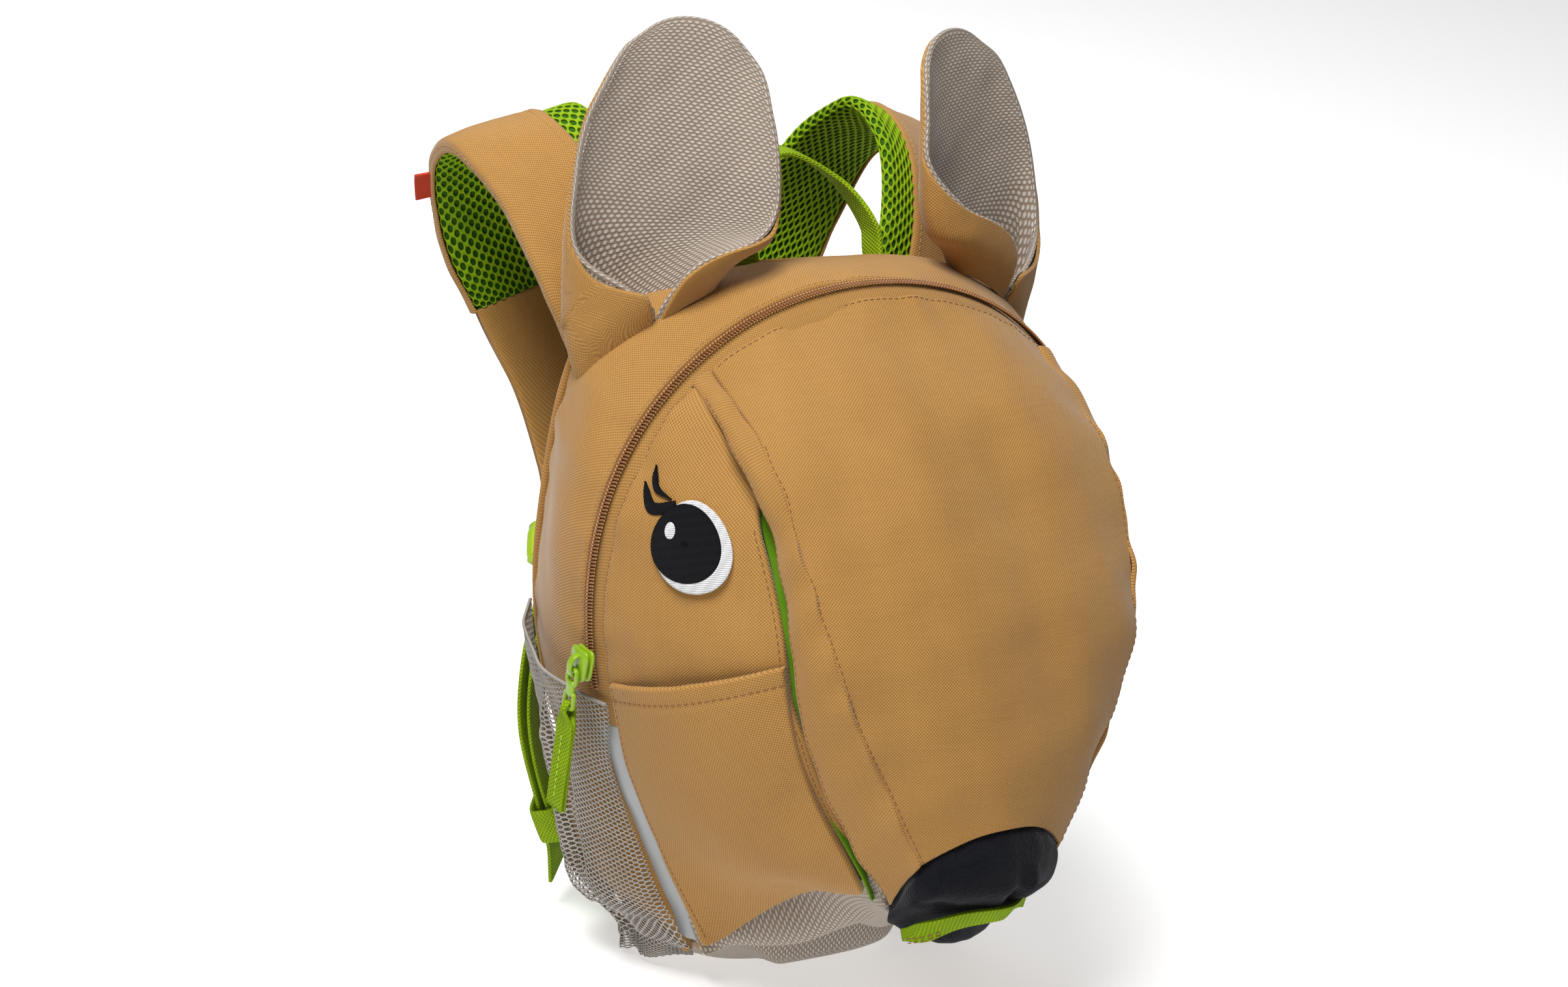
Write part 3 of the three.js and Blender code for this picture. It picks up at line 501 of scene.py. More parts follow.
def muzzle_side_point(along, across):
    point = lerp(seam_point(along) + (GAP, 0, 0), SLIT_LINE(along), across[..., None])
    point[..., 0] += MUZZLE_SIDE_BULGE * np.sin(np.pi * np.clip(across, 0, 1))
    seam = seam_point(np.zeros_like(along)) + (GAP, 0, 0)
    top = lerp(seam, np.array(FACE[0]["slit"]), across[..., None])
    return meet_zip(point, top, along)


def lining_point(side, along):
    edge = lerp(EDGE_LINE(along), LIP_LINE(along), (side**4)[..., None])
    bow = 1 - side * side
    lift = LINING["crown"] * (1 - smoothstep(along, 0, 0.25))
    shown = LINING["shown"] * smoothstep(along, 0.64, 0.74)
    y = edge[..., 1] + 1.5 - shown - LINING["bow"] * bow * smoothstep(along, 0, 0.2)
    return xyz((edge[..., 0] - LINING["inset"] + shown) * side, y, edge[..., 2] - 1 + lift * bow)


NOSE_LINES = [Spline(column(NOSE, name)) for name in ("side", "corner", "middle")]


def nose_point(side, along):
    rows = []
    for k in range(side.shape[1]):
        rear, corner, middle = (line(along[0, k]) for line in NOSE_LINES)
        section = Spline([rear, corner, middle, corner * (-1, 1, 1), rear * (-1, 1, 1)])
        rows.append(section(side[:, k]))
    return np.stack(rows, axis=1)


def gusset_top(x, y):
    """Height that an ear's foot starts from under points seen from above, on the +X side."""
    zip_y = front_y(FRONT["top"])
    v = np.clip((y - zip_y) / (BACK_Y - zip_y), 0, 1)
    low, high = np.zeros_like(x), np.full_like(x, 0.5)
    for _ in range(30):
        middle = (low + high) / 2
        short = gusset_point(middle, v, EAR_ARCH)[..., 0] < x
        low, high = np.where(short, middle, low), np.where(short, high, middle)
    return gusset_point(low, v, EAR_ARCH)[..., 2]


EAR_PATH = Spline([(row["up"], row["half"], row["deep"]) for row in EAR])
EAR_WRAP = Spline([(row["wrap"], 0, 0) for row in EAR])
EAR_MATRIX = np.array(
    Matrix.Rotation(math.radians(EAR_TURN[0]), 3, "X")
    @ Matrix.Rotation(math.radians(EAR_TURN[1]), 3, "Y")
    @ Matrix.Rotation(math.radians(EAR_TURN[2]), 3, "Z")
)


def ear_point(side, along, sign, rounding):
    """An ear on the +X side, folded further round its inner edge where sign asks for it."""
    up, half, deep = np.moveaxis(EAR_PATH(along), -1, 0)
    wrap = EAR_WRAP(along)[..., 0]
    inner = EAR_FOLD[sign] * (1 - smoothstep(along, 0.2, 0.9))
    angle = side * np.radians(np.where(side < 0, np.maximum(wrap, inner), wrap))
    tip = EAR_REACH[sign] - rounding * side * side * smoothstep(along, 0.5, 1)
    point = xyz(half * np.sin(angle), deep * (np.cos(angle) - 1), up * tip) @ EAR_MATRIX.T
    point[..., :2] += EAR_FOOT
    foot = gusset_top(point[..., 0], point[..., 1]) + EAR_CLEAR
    ground = gusset_top(*np.array(EAR_FOOT, float)[:, None]) + point[..., 2]
    held = np.maximum(foot, foot + point[..., 2])
    point[..., 2] = lerp(held, ground, smoothstep(along, 0, 0.45))
    return point


STRAP_PATH = Spline(column(STRAP, "at"))
STRAP_ACROSS = Spline(column(STRAP, "across"))
ANCHOR_PATH = Spline(ANCHOR)
FREE_PATH = Spline([tuple(np.add(p, FREE_SHIFT)) for p in ANCHOR[:4]] + FREE_TIP)


def frames(path, across, t):
    """Middle, width and outward directions of a flat strap at each t."""
    tangent = unit(path.slope(t))
    wide = across(t) if callable(across) else np.broadcast_to(np.array(across, float), tangent.shape)
    wide = unit(wide - tangent * np.sum(wide * tangent, axis=-1, keepdims=True))
    return path(t), wide, np.cross(wide, tangent)


def full_turn(count, first=0.0):
    """Angles at even steps round a full turn."""
    return 2 * np.pi * (np.arange(count) + first) / count


def rounded(width, height, angle, power):
    """Points on a rectangle with round corners, which is an ellipse for a power of 1."""
    cos, sin = np.cos(angle), np.sin(angle)
    x = width / 2 * np.sign(cos) * np.abs(cos) ** power
    return np.stack([x, height / 2 * np.sign(sin) * np.abs(sin) ** power], axis=-1)


def pad_corner(grow, angle):
    """The section of a strap's pad, grown by a distance: flat faces with round edges."""
    return rounded(PAD["width"] + 2 * grow, PAD["thick"] + 2 * grow, angle, PAD_ROUND)


def strap_frames(t):
    return frames(STRAP_PATH, STRAP_ACROSS, t)


def normals_of(surface, u, v, step):
    """Normals of surface(u, v), from small steps either way."""
    ahead = surface(u + step, v) - surface(u - step, v)
    return unit(np.cross(ahead, surface(u, v + step) - surface(u, v - step)))


def facing_out(normals, points):
    """Normals turned to point away from the middle of the bag."""
    return normals * np.sign(np.sum(normals * (points - CORE), axis=-1, keepdims=True))


# Panels of cloth
def stops(length, step, fine=EDGE_STEPS):
    """Places from 0 to 1 along a panel, closer together at both edges."""
    count = max(2, round((length - 2 * fine[-1]) / step))
    middle = np.linspace(fine[-1], length - fine[-1], count)
    near = np.array(fine[:-1])
    return np.concatenate([near, middle, length - near[::-1]]) / length


def grid(kind):
    return [stops(*row) for row in GRIDS[kind]]


class Panel:
    """A grid of points on a surface, with its normals, its lengths and the heights added to it."""

    def __init__(self, surface, u, v, outward=True, weave="middle"):
        self.points = surface(*np.meshgrid(u, v, indexing="ij"))
        steps = [np.gradient(self.points, axis=axis) for axis in (0, 1)]
        self.normals = unit(np.cross(*steps))
        if outward and np.sum(self.normals * (self.points - CORE)) < 0:
            self.normals = -self.normals
        self.low, self.left = lengths(self.points, 0), lengths(self.points, 1)
        self.high, self.right = self.low[-1:] - self.low, self.left[:, -1:] - self.left
        self.height = np.zeros(self.low.shape)
        self.weave = weave

    def places(self):
        """Each point's place on the flat cloth, from the middle, where threads run true."""
        row, column = (count // 2 for count in self.height.shape)
        if self.weave == "flat":
            ahead = unit(self.points[row, -1] - self.points[row, 0])
            down = self.points[-1, column] - self.points[0, column]
            down = unit(down - ahead * (down @ ahead))
            offset = self.points - self.points[row, column]
            return np.stack([offset @ down, offset @ ahead], axis=-1)
        x = self.low - self.low[row]
        y = self.left - self.left[:, column : column + 1]
        if self.weave == "rows":
            y = np.broadcast_to(self.left[row] - self.left[row, column], x.shape)
        return np.stack([x, y], axis=-1)

    def move(self, height):
        self.height = self.height + height
        return self

    def waves(self, seed, kind):
        """The soft waves of one kind of panel, each from a seed of its own."""
        return sum(ripple(self.points, seed + k, *size) for k, size in enumerate(WAVES[kind]))

    def face(self, extra=0.0):
        return self.points + self.normals * (self.height + extra)[..., None]

    def line(self, edge, distance):
        """Points and normals along the panel at a distance from one of its edges."""
        grids = [getattr(self, edge), self.face(), self.normals]
        if edge in ("low", "high"):
            grids = [np.swapaxes(grid, 0, 1) for grid in grids]
        if edge in ("high", "right"):
            grids = [grid[:, ::-1] for grid in grids]
        away, points, normals = grids
        rows = np.arange(len(away))
        index = np.array([np.interp(distance, row, np.arange(len(row))) for row in away])
        k = np.minimum(index.astype(int), away.shape[1] - 2)
        w = (index - k)[:, None]
        read = lambda grid: lerp(grid[rows, k], grid[rows, k + 1], w)
        return read(points), unit(read(normals))

    def area(self):
        steps = [np.diff(self.points, axis=0)[:, :-1], np.diff(self.points, axis=1)[:-1]]
        return float(np.linalg.norm(np.cross(*steps), axis=-1).sum())

    def cut(self):
        """The flat rectangle that this panel is cut from, and its own flat area, in metres."""
        size = (float(self.low[-1].max()) * MM, float(self.left[:, -1].max()) * MM)
        return size, min(self.area() * MM * MM, size[0] * size[1])


def ripple(points, seed, size, height):
    """Soft uneven waves about size long, from sines in seeded directions."""
    rng = np.random.default_rng(seed)
    total = np.zeros(points.shape[:-1])
    for _ in range(7):
        way = unit(rng.normal(size=3)) * 2 * np.pi / (size * rng.uniform(0.6, 1.6))
        total += np.sin(points @ way + rng.uniform(0, 2 * np.pi))
    return height * total / 2.6


def pucker(run, away, seed, kind):
    """Gathers along a seam, fading with the distance from it."""
    pitch, reach, height = GATHERS[kind]
    rng = np.random.default_rng(seed)
    wave = np.zeros_like(run)
    for _ in range(4):
        wave += np.sin(run * 2 * np.pi / (pitch * rng.uniform(0.65, 1.5)) + rng.uniform(0, 2 * np.pi))
    return height * wave / 2 * np.exp(-away / reach)


def roll(away, radius):
    """A folded edge: the face turns down over a quarter of a circle."""
    short = np.clip(radius - away, 0, radius)
    return -(radius - np.sqrt(np.maximum(radius**2 - short**2, 0)))


def groove(away, at, width, depth):
    return -depth * np.exp(-(((away - at) / width) ** 2))


def fold(points, start, end, width, height):
    """A soft ridge, or a valley for a height below zero, along a line between two points."""
    start, end = np.array(start, float), np.array(end, float)
    way = end - start
    t = np.clip((points - start) @ way / (way @ way), 0, 1)
    away = np.linalg.norm(points - start - t[..., None] * way, axis=-1)
    fade = np.sin(np.pi * np.clip(t, 0.02, 0.98)) ** 0.6
    return height * fade * np.exp(-((away / width) ** 2))


# Shapes
class Shape:
    """Points, faces of three or four corners, and each point's place on the cloth, in millimetres."""

    def __init__(self, points, quads=(), triangles=(), place=None):
        self.points = np.asarray(points, float).reshape(-1, 3)
        self.quads = np.asarray(quads, int).reshape(-1, 4)
        self.triangles = np.asarray(triangles, int).reshape(-1, 3)
        blank = np.zeros((len(self.points), 2))
        self.place = blank if place is None else np.asarray(place, float).reshape(-1, 2)
        halves = [self.triangles, self.quads[:, :3], self.quads[:, [0, 2, 3]]]
        a, b, c = np.moveaxis(self.points[np.vstack(halves)], 1, 0)
        if np.sum(a * np.cross(b, c)) < 0:
            self.quads, self.triangles = self.quads[:, ::-1], self.triangles[:, ::-1]

    def mirrored(self):
        return Shape(self.points * (-1, 1, 1), self.quads, self.triangles, self.place)


def joined(shapes):
    starts = np.cumsum([0] + [len(shape.points) for shape in shapes])
    whole = Shape(np.zeros((3, 3)))
    whole.points = np.vstack([shape.points for shape in shapes])
    whole.place = np.vstack([shape.place for shape in shapes])
    whole.quads = np.vstack([shape.quads + start for shape, start in zip(shapes, starts)])
    whole.triangles = np.vstack([shape.triangles + start for shape, start in zip(shapes, starts)])
    return whole


def grid_quads(rows, columns, around=False, closed=False):
    """Faces of a grid of points, which may close on itself either way."""
    i, j = np.meshgrid(np.arange(rows - (not closed)), np.arange(columns - (not around)), indexing="ij")
    i2, j2 = (i + 1) % rows, (j + 1) % columns
    corners = [i * columns + j, i * columns + j2, i2 * columns + j2, i2 * columns + j]
    return np.stack(corners, axis=-1).reshape(-1, 4)


def perimeter(rows, columns):
    """Indices round the edge of a grid, in order."""
    index = np.arange(rows * columns).reshape(rows, columns)
    return np.concatenate([index[0, :-1], index[:-1, -1], index[-1, :0:-1], index[:0:-1, 0]])


def cloth(panel, thick):
    """A closed sheet under a panel's face, with a round rim."""
    outer, inner = panel.face(), panel.face(-thick)
    rows, columns = panel.height.shape
    spread = np.zeros_like(outer)
    for edge, beside in ((0, 1), (-1, -2)):
        spread[edge] += unit(outer[edge] - outer[beside])
        spread[:, edge] += unit(outer[:, edge] - outer[:, beside])
    middle = (outer + inner) / 2 + unit(spread) * thick * 0.4
    ring = perimeter(rows, columns)
    count = rows * columns
    rim = np.arange(len(ring)) + 2 * count
    nxt = np.roll(np.arange(len(ring)), -1)
    face = grid_quads(rows, columns)
    quads = [
        face,
        face[:, ::-1] + count,
        np.stack([ring[nxt], ring, rim, rim[nxt]], axis=-1),
        np.stack([rim[nxt], rim, ring + count, ring[nxt] + count], axis=-1),
    ]
    points = np.vstack([outer.reshape(-1, 3), inner.reshape(-1, 3), middle.reshape(-1, 3)[ring]])
    place = panel.places().reshape(-1, 2)
    return Shape(points, np.vstack(quads), place=np.vstack([place, place, place[ring]]))


def lofted(rings, closed=False):
    """Rings of equal length joined in turn, capped at both ends or closed on themselves."""
    rings = np.asarray(rings, float)
    count, around = rings.shape[:2]
    place = np.stack([lengths(rings, 0), lengths(rings, 1)], axis=-1).reshape(-1, 2)
    points = rings.reshape(-1, 3)
    quads = grid_quads(count, around, around=True, closed=closed)
    if closed:
        return Shape(points, quads, place=place)
    k = np.arange(around)
    nxt = np.roll(k, -1)
    hubs = [count * around, count * around + 1]
    last = (count - 1) * around
    triangles = [
        np.stack([np.full(around, hubs[0]), nxt, k], axis=-1),
        np.stack([np.full(around, hubs[1]), last + k, last + nxt], axis=-1),
    ]
    points = np.vstack([points, rings[0].mean(0), rings[-1].mean(0)])
    place = np.vstack([place, place[:around].mean(0), place[last:].mean(0)])
    return Shape(points, quads, np.vstack(triangles), place)


def sweep(frame_rows, section, closed=False):
    """A section, given as pairs of width and height, carried along a strap's frames."""
    middle, wide, out = (row[:, None] for row in frame_rows)
    section = np.asarray(section, float)
    return lofted(middle + wide * section[..., 0:1] + out * section[..., 1:2], closed)


def oblong(width, thick, sides, square):
    """A flat section with round edges."""
    return rounded(width, thick, full_turn(sides, 0.5), square)


WEBBING_SECTION = oblong(1, 1, 24, 0.3)


def tapered(section, width, thick):
    """A section of unit size, drawn out to a width and a thickness of its own at each step."""
    return section * np.stack(np.broadcast_arrays(width, thick), axis=-1)[:, None]


def ribbon(path, across, width, thick, span=(0.0, 1.0)):
    return sweep(frames(path, across, np.linspace(*span, 90)), WEBBING_SECTION * (width, thick))


def tube_along(points, width, thick):
    """A round or oval cord of cloth along a line of points."""
    path = Spline(points[:: max(1, len(points) // 24)])
    t = np.linspace(0, 1, len(points))
    across = unit(np.cross(path.slope(t), path(t) - CORE))
    out = np.cross(across, unit(path.slope(t)))
    return sweep((path(t), across, out), oblong(width, thick, 10, 1.0))


def instances(template, origins, x, y, z):
    """Copies of one small shape, each in a frame of its own."""
    axes = np.stack([x, y, z], axis=1)
    points = np.einsum("pk,nkd->npd", template.points, axes) + origins[:, None]
    offset = (np.arange(len(origins)) * len(template.points))[:, None, None]
    quads = (template.quads[None] + offset).reshape(-1, 4)
    triangles = (template.triangles[None] + offset).reshape(-1, 3)
    place = np.tile(template.place, (len(origins), 1))
    whole = Shape(points, place=place)
    whole.quads, whole.triangles = quads, triangles
    return whole


def grain(length, width, rise, sides=5):
    """A small lozenge of thread, lying along x."""
    along = np.array([-0.5, -0.3, 0.3, 0.5]) * length
    size = np.array([0.25, 1, 1, 0.25])
    angle = 2 * np.pi * np.arange(sides) / sides
    ring = np.stack([np.zeros(sides), np.cos(angle) * width / 2, np.sin(angle) * rise], axis=-1)
    return lofted(ring[None] * size[:, None, None] + along[:, None, None] * np.array([1, 0, 0]))


def along_line(points, normals, pitch, first=0.0, last=None):
    """Places at an even pitch along a line of points, with directions along, across and out."""
    run = lengths(points, 0)
    stop = run[-1] if last is None else last
    at = np.arange(first + pitch / 2, stop - pitch / 2, pitch)
    read = lambda values, where: np.stack([np.interp(where, run, value) for value in values.T], axis=-1)
    along = unit(read(points, at + 0.3) - read(points, at - 0.3))
    out = unit(read(normals, at))
    return read(points, at), along, np.cross(out, along), out


def stitches(points, normals, first=0.0, last=None):
    """A row of machine stitches."""
    template = grain(STITCH["length"], STITCH["width"], STITCH["rise"])
    pitch = STITCH["length"] + STITCH["gap"]
    return instances(template, *along_line(points, normals, pitch, first, last))


def perforated(place, size, pitch, hole, thick, sides=6):
    """A net of hexagonal cells with a hole in each, laid by place(along, across) in millimetres."""
    rows, columns = int(size[1] / pitch[1]), int(size[0] / pitch[0])
    j, i = np.meshgrid(np.arange(rows), np.arange(columns), indexing="ij")
    middle = np.stack([(i + 0.5 + 0.5 * (j % 2)) * pitch[0], (j + 0.7) * pitch[1]], axis=-1)
    middle = middle.reshape(-1, 1, 2)
    turns = np.pi / 6 + np.pi / 3 * np.arange(7)
    corner_x = np.cos(turns) / math.cos(np.pi / 6) * pitch[0] / 2
    corner_y = np.sin(turns) * pitch[1] * 2 / 3
    share = np.arange(sides) * 6 / sides
    corner = np.stack([np.interp(share, np.arange(7), c) for c in (corner_x, corner_y)], axis=-1)
    angle = np.pi / 6 + 2 * np.pi / sides * np.arange(sides)
    inner = np.stack([np.cos(angle) * hole[0] / 2, np.sin(angle) * hole[1] / 2], axis=-1)
    flat = np.concatenate([middle + corner, middle + inner], axis=1).reshape(-1, 2)
    keys, index = np.unique(np.round(flat, 3), axis=0, return_inverse=True)
    rim, lip = np.moveaxis(index.reshape(-1, 2, sides), 1, 0)
    nxt = np.roll(np.arange(sides), -1)
    count = len(keys)
    front = np.stack([rim, rim[:, nxt], lip[:, nxt], lip], axis=-1).reshape(-1, 4)
    walls = np.stack([lip, lip[:, nxt], lip[:, nxt] + count, lip + count], axis=-1).reshape(-1, 4)
    points = place(*keys.T)
    both = np.vstack([points, points - normals_of(place, *keys.T, 0.25) * thick])
    return Shape(both, np.vstack([front, walls, front[:, ::-1] + count]), place=np.vstack([keys, keys]))


# Materials
class Term:
    """A number in a material's nodes, with arithmetic that adds nodes."""

    def __init__(self, look, socket):
        self.look, self.socket = look, socket

    def __add__(self, other):
        return self.look.math("ADD", self, other)

    def __sub__(self, other):
        return self.look.math("SUBTRACT", self, other)

    def __mul__(self, other):
        return self.look.math("MULTIPLY", self, other)

    def __truediv__(self, other):
        return self.look.math("DIVIDE", self, other)

    def sin(self):
        return self.look.math("SINE", self)

    def floor(self):
        return self.look.math("FLOOR", self)

    def fract(self):
        return self.look.math("FRACT", self)

    def step(self, low, high):
        node = self.look.node("ShaderNodeMapRange", interpolation_type="SMOOTHSTEP")
        self.look.wire(self, node.inputs["Value"])
        node.inputs["From Min"].default_value = low
        node.inputs["From Max"].default_value = high
        return Term(self.look, node.outputs["Result"])


class Look:
    """A material, with the place on the cloth in millimetres as its coordinates."""

    def __init__(self, name, roughness=0.8, **sockets):
        self.material = bpy.data.materials.new(name)
        self.material.use_nodes = True
        self.tree = self.material.node_tree
        self.shader = self.tree.nodes["Principled BSDF"]
        self.shader.inputs["Roughness"].default_value = roughness
        for key, value in sockets.items():
            self.shader.inputs[key.replace("_", " ")].default_value = value
        attribute = self.node("ShaderNodeAttribute", attribute_name="mm")
        self.vector = attribute.outputs["Vector"]
        split = self.node("ShaderNodeSeparateXYZ")
        self.wire(self.vector, split.inputs[0])
        self.x, self.y = Term(self, split.outputs["X"]), Term(self, split.outputs["Y"])

    def node(self, kind, **settings):
        node = self.tree.nodes.new(kind)
        for key, value in settings.items():
            setattr(node, key, value)
        return node

    def wire(self, value, socket):
        if isinstance(value, (int, float, tuple)):
            socket.default_value = value
        else:
            self.tree.links.new(value.socket if isinstance(value, Term) else value, socket)

    def math(self, operation, *values):
        node = self.node("ShaderNodeMath", operation=operation)
        for value, socket in zip(values, node.inputs):
            self.wire(value, socket)
        return Term(self, node.outputs[0])

    def wave(self, term, length):
        return (term * (2 * math.pi / length)).sin()

    def weave(self, x_length, y_length):
        """Threads that cross, as heights from 0 to 1."""
        return self.wave(self.x, x_length) * self.wave(self.y, y_length) * 0.5 + 0.5

    def noise(self, size, detail=2.0, stretch=(1.0, 1.0), space="mm"):
        """Cloudy values around 0.5, with patches about size across."""
        scale = self.node("ShaderNodeVectorMath", operation="MULTIPLY")
        if space == "mm":
            self.wire(self.vector, scale.inputs[0])
            scale.inputs[1].default_value = (stretch[0] / size, stretch[1] / size, 0)
        else:
            places = self.node("ShaderNodeTexCoord")
            self.wire(places.outputs["Object"], scale.inputs[0])
            scale.inputs[1].default_value = (1 / (size * MM),) * 3
        node = self.node("ShaderNodeTexNoise")
        node.inputs["Scale"].default_value = 1
        node.inputs["Detail"].default_value = detail
        self.wire(scale.outputs[0], node.inputs["Vector"])
        return Term(self, node.outputs["Fac"])

    def mix(self, amount, a, b):
        node = self.node("ShaderNodeMix", data_type="RGBA")
        for value, index in ((amount, 0), (a, 6), (b, 7)):
            self.wire((*value, 1) if isinstance(value, tuple) else value, node.inputs[index])
        return node.outputs[2]

    def colour(self, value):
        self.wire((*value, 1) if isinstance(value, tuple) else value, self.shader.inputs["Base Color"])

    def rough(self, term):
        self.wire(term, self.shader.inputs["Roughness"])

    def bump(self, height, depth):
        """Relief of a depth in millimetres for heights from 0 to 1."""
        node = self.node("ShaderNodeBump")
        node.inputs["Distance"].default_value = depth * MM
        self.wire(height, node.inputs["Height"])
        self.wire(node.outputs["Normal"], self.shader.inputs["Normal"])


def brown_cloth(name, tone):
    look = Look(name, 0.75, Sheen_Weight=0.28, Sheen_Roughness=0.45, Specular_IOR_Level=0.18)
    weave = look.weave(1.1, 1.2)
    slub = look.noise(1.6, 3, (0.12, 1.0)) * 0.6 + look.noise(1.6, 3, (1.0, 0.12)) * 0.4
    dark = tuple(tone * c for c in (0.27, 0.121, 0.026))
    light = tuple(tone * c for c in (0.56, 0.305, 0.084))
    blend = weave * 0.75 + slub * 0.25 + look.noise(45, 2) * 0.2 - 0.1
    look.colour(look.mix(blend.step(0, 1), dark, light))
    look.rough(slub * 0.3 + 0.58)
    look.bump(weave * 0.8 + slub * 0.4, 0.16)
    return look.material


def beige_weave():
    """Pale dots in rows, each row shifted by half a pitch from the next."""
    look = Look("beige_weave", 0.8, Sheen_Weight=0.2, Specular_IOR_Level=0.25)
    pitch, row_height = 2.6, 1.2
    shift = ((look.y / row_height).floor() * 0.5).fract()
    fx = (look.x / pitch + shift).fract() - 0.5
    fy = (look.y / row_height).fract() - 0.5
    away = fx * fx * 7.5 + fy * fy * 6.5
    dot = look.math("SUBTRACT", 1.0, away.step(0.35, 1.35))
    fibre = look.noise(0.8, 3)
    pale = look.mix(fibre, (0.48, 0.42, 0.36), (0.64, 0.59, 0.53))
    ground = look.mix(look.noise(30, 2), (0.24, 0.18, 0.13), (0.32, 0.245, 0.185))
    look.colour(look.mix(dot, ground, pale))
    look.bump(dot * 0.85 + fibre * 0.25, 0.3)
    return look.material


def woven(name, dark, light, rough=0.85, threads=(0.9, 0.9), specular=0.15, cloud=(20, 3),
          shares=(0.4, 0.8), span=(0.1, 1.1), relief=0.12):
    """Cloth of crossing threads, with cloudy patches between two colours."""
    look = Look(name, rough, Specular_IOR_Level=specular)
    weave = look.weave(*threads)
    blend = weave * shares[0] + look.noise(*cloud) * shares[1]
    look.colour(look.mix(blend.step(*span), dark, light))
    look.bump(weave, relief)
    return look.material


def green_webbing():
    return woven("green_webbing", (0.12, 0.23, 0.003), (0.36, 0.52, 0.010), 0.7, (1.5, 1.9),
                 specular=0.12, cloud=(9, 2), shares=(0.8, 0.5), span=(0.15, 1.15), relief=0.35)


def spacer_mesh():
    return woven("spacer_mesh", (0.16, 0.31, 0.003), (0.38, 0.58, 0.010), 0.65, (0.55, 0.45),
                 specular=0.12, cloud=(14, 2), shares=(0.5, 0.6), span=(0.1, 1))


def fleece():
    look = Look("black_fleece", 0.95, Sheen_Weight=0.12, Sheen_Roughness=0.5, Specular_IOR_Level=0.08)
    nap = look.noise(1.3, 5)
    blend = (nap * 0.7 + look.noise(16, 2) * 0.4).step(0.2, 1)
    look.colour(look.mix(blend, (0.003, 0.003, 0.005), (0.010, 0.011, 0.015)))
    look.bump(nap, 0.5)
    return look.material


def moulded(name, dark, light, roughness=0.38):
    look = Look(name, roughness, Coat_Weight=0.15, Specular_IOR_Level=0.5)
    look.colour(look.mix(look.noise(6, 3, space="object"), dark, light))
    look.rough(look.noise(1.2, 2, space="object") * 0.2 + roughness - 0.1)
    look.bump(look.noise(0.7, 2, space="object"), 0.05)
    return look.material


def reflective_tape():
    look = Look("reflective", 0.45, Specular_IOR_Level=0.4, Metallic=0.15)
    beads = look.noise(0.5, 2)
    blend = beads * 0.4 + look.noise(18, 2) * 0.6
    look.colour(look.mix(blend, (0.29, 0.30, 0.30), (0.40, 0.41, 0.41)))
    look.rough(beads * 0.3 + 0.25)
    look.bump(beads, 0.05)
    return look.material


def satin_thread(name, dark, light, turn):
    """Embroidery: close threads that all run one way."""
    look = Look(name, 0.7, Specular_IOR_Level=0.1)
    way = look.x * math.cos(turn) + look.y * math.sin(turn)
    over = look.y * math.cos(turn) - look.x * math.sin(turn)
    thread = look.wave(way + look.noise(3, 2) * 0.5, 0.62) * 0.5 + 0.5
    ends = look.wave(over + way * 0.9, 4.4) * 0.5 + 0.5
    look.colour(look.mix((thread * 0.7 + ends * 0.3).step(0.1, 0.9), dark, light))
    look.bump(thread * 0.8 + ends * 0.3, 0.2)
    return look.material


# Each finish, with the slot that it fills
LOOKS = {
    "brown": (brown_cloth("brown_cloth", 1.0), "brown_cloth"),
    "beige": (beige_weave(), "beige_weave"),
    "webbing": (green_webbing(), "green_webbing"),
    "spacer": (spacer_mesh(), "spacer_mesh"),
    "foam": (woven("spacer_core", (0.020, 0.075, 0.004), (0.045, 0.15, 0.008)), "spacer_mesh"),
    "lining": (woven("green_lining", (0.08, 0.21, 0.006), (0.16, 0.34, 0.010)), "green_lining"),
    "plastic": (moulded("lime_plastic", (0.30, 0.48, 0.008), (0.42, 0.60, 0.012)), "lime_plastic"),
    "metal": (moulded("lime_metal", (0.21, 0.38, 0.006), (0.31, 0.50, 0.010), 0.32), "lime_metal"),
    "fleece": (fleece(), "black_fleece"),
    "net": (woven("grey_net", (0.34, 0.31, 0.28), (0.62, 0.58, 0.53), 0.7, (0.6, 0.6)), "grey_net"),
    "net_edge": (
        woven("grey_net_hem", (0.26, 0.235, 0.205), (0.48, 0.45, 0.41), 0.75, (0.8, 0.8)),
        "grey_net",
    ),
    "reflective": (reflective_tape(), "reflective"),
    "tape": (brown_cloth("zip_facing", 0.92), "zip_tape"),
    "coil": (moulded("zip_coil", (0.17, 0.06, 0.014), (0.30, 0.115, 0.03), 0.5), "zip_coil"),
    "thread": (moulded("tan_thread", (0.36, 0.18, 0.055), (0.54, 0.30, 0.10), 0.7), "brown_cloth"),
    # Stitch thread darkened below its real tan: painted shade of the stitch holes and seam grooves, laid
    # on real stitches
    "thread_with_painted_seam_shade": (moulded("thread_with_painted_seam_shade", (0.17, 0.065, 0.016), (0.28, 0.115, 0.032), 0.7), "zip_coil"),
    "lime_thread": (moulded("lime_thread", (0.42, 0.62, 0.02), (0.58, 0.75, 0.05), 0.6), "green_webbing"),
    "black_satin": (
        satin_thread("embroidery_black", (0.002, 0.002, 0.003), (0.007, 0.007, 0.008), 0.9),
        "embroidery",
    ),
    "white_satin": (
        satin_thread("embroidery_white", (0.55, 0.55, 0.56), (0.86, 0.86, 0.86), 1.7),
        "embroidery",
    ),
    "red": (woven("label_red", (0.42, 0.030, 0.012), (0.62, 0.075, 0.030), 0.6, (0.7, 0.7)), "label"),
}


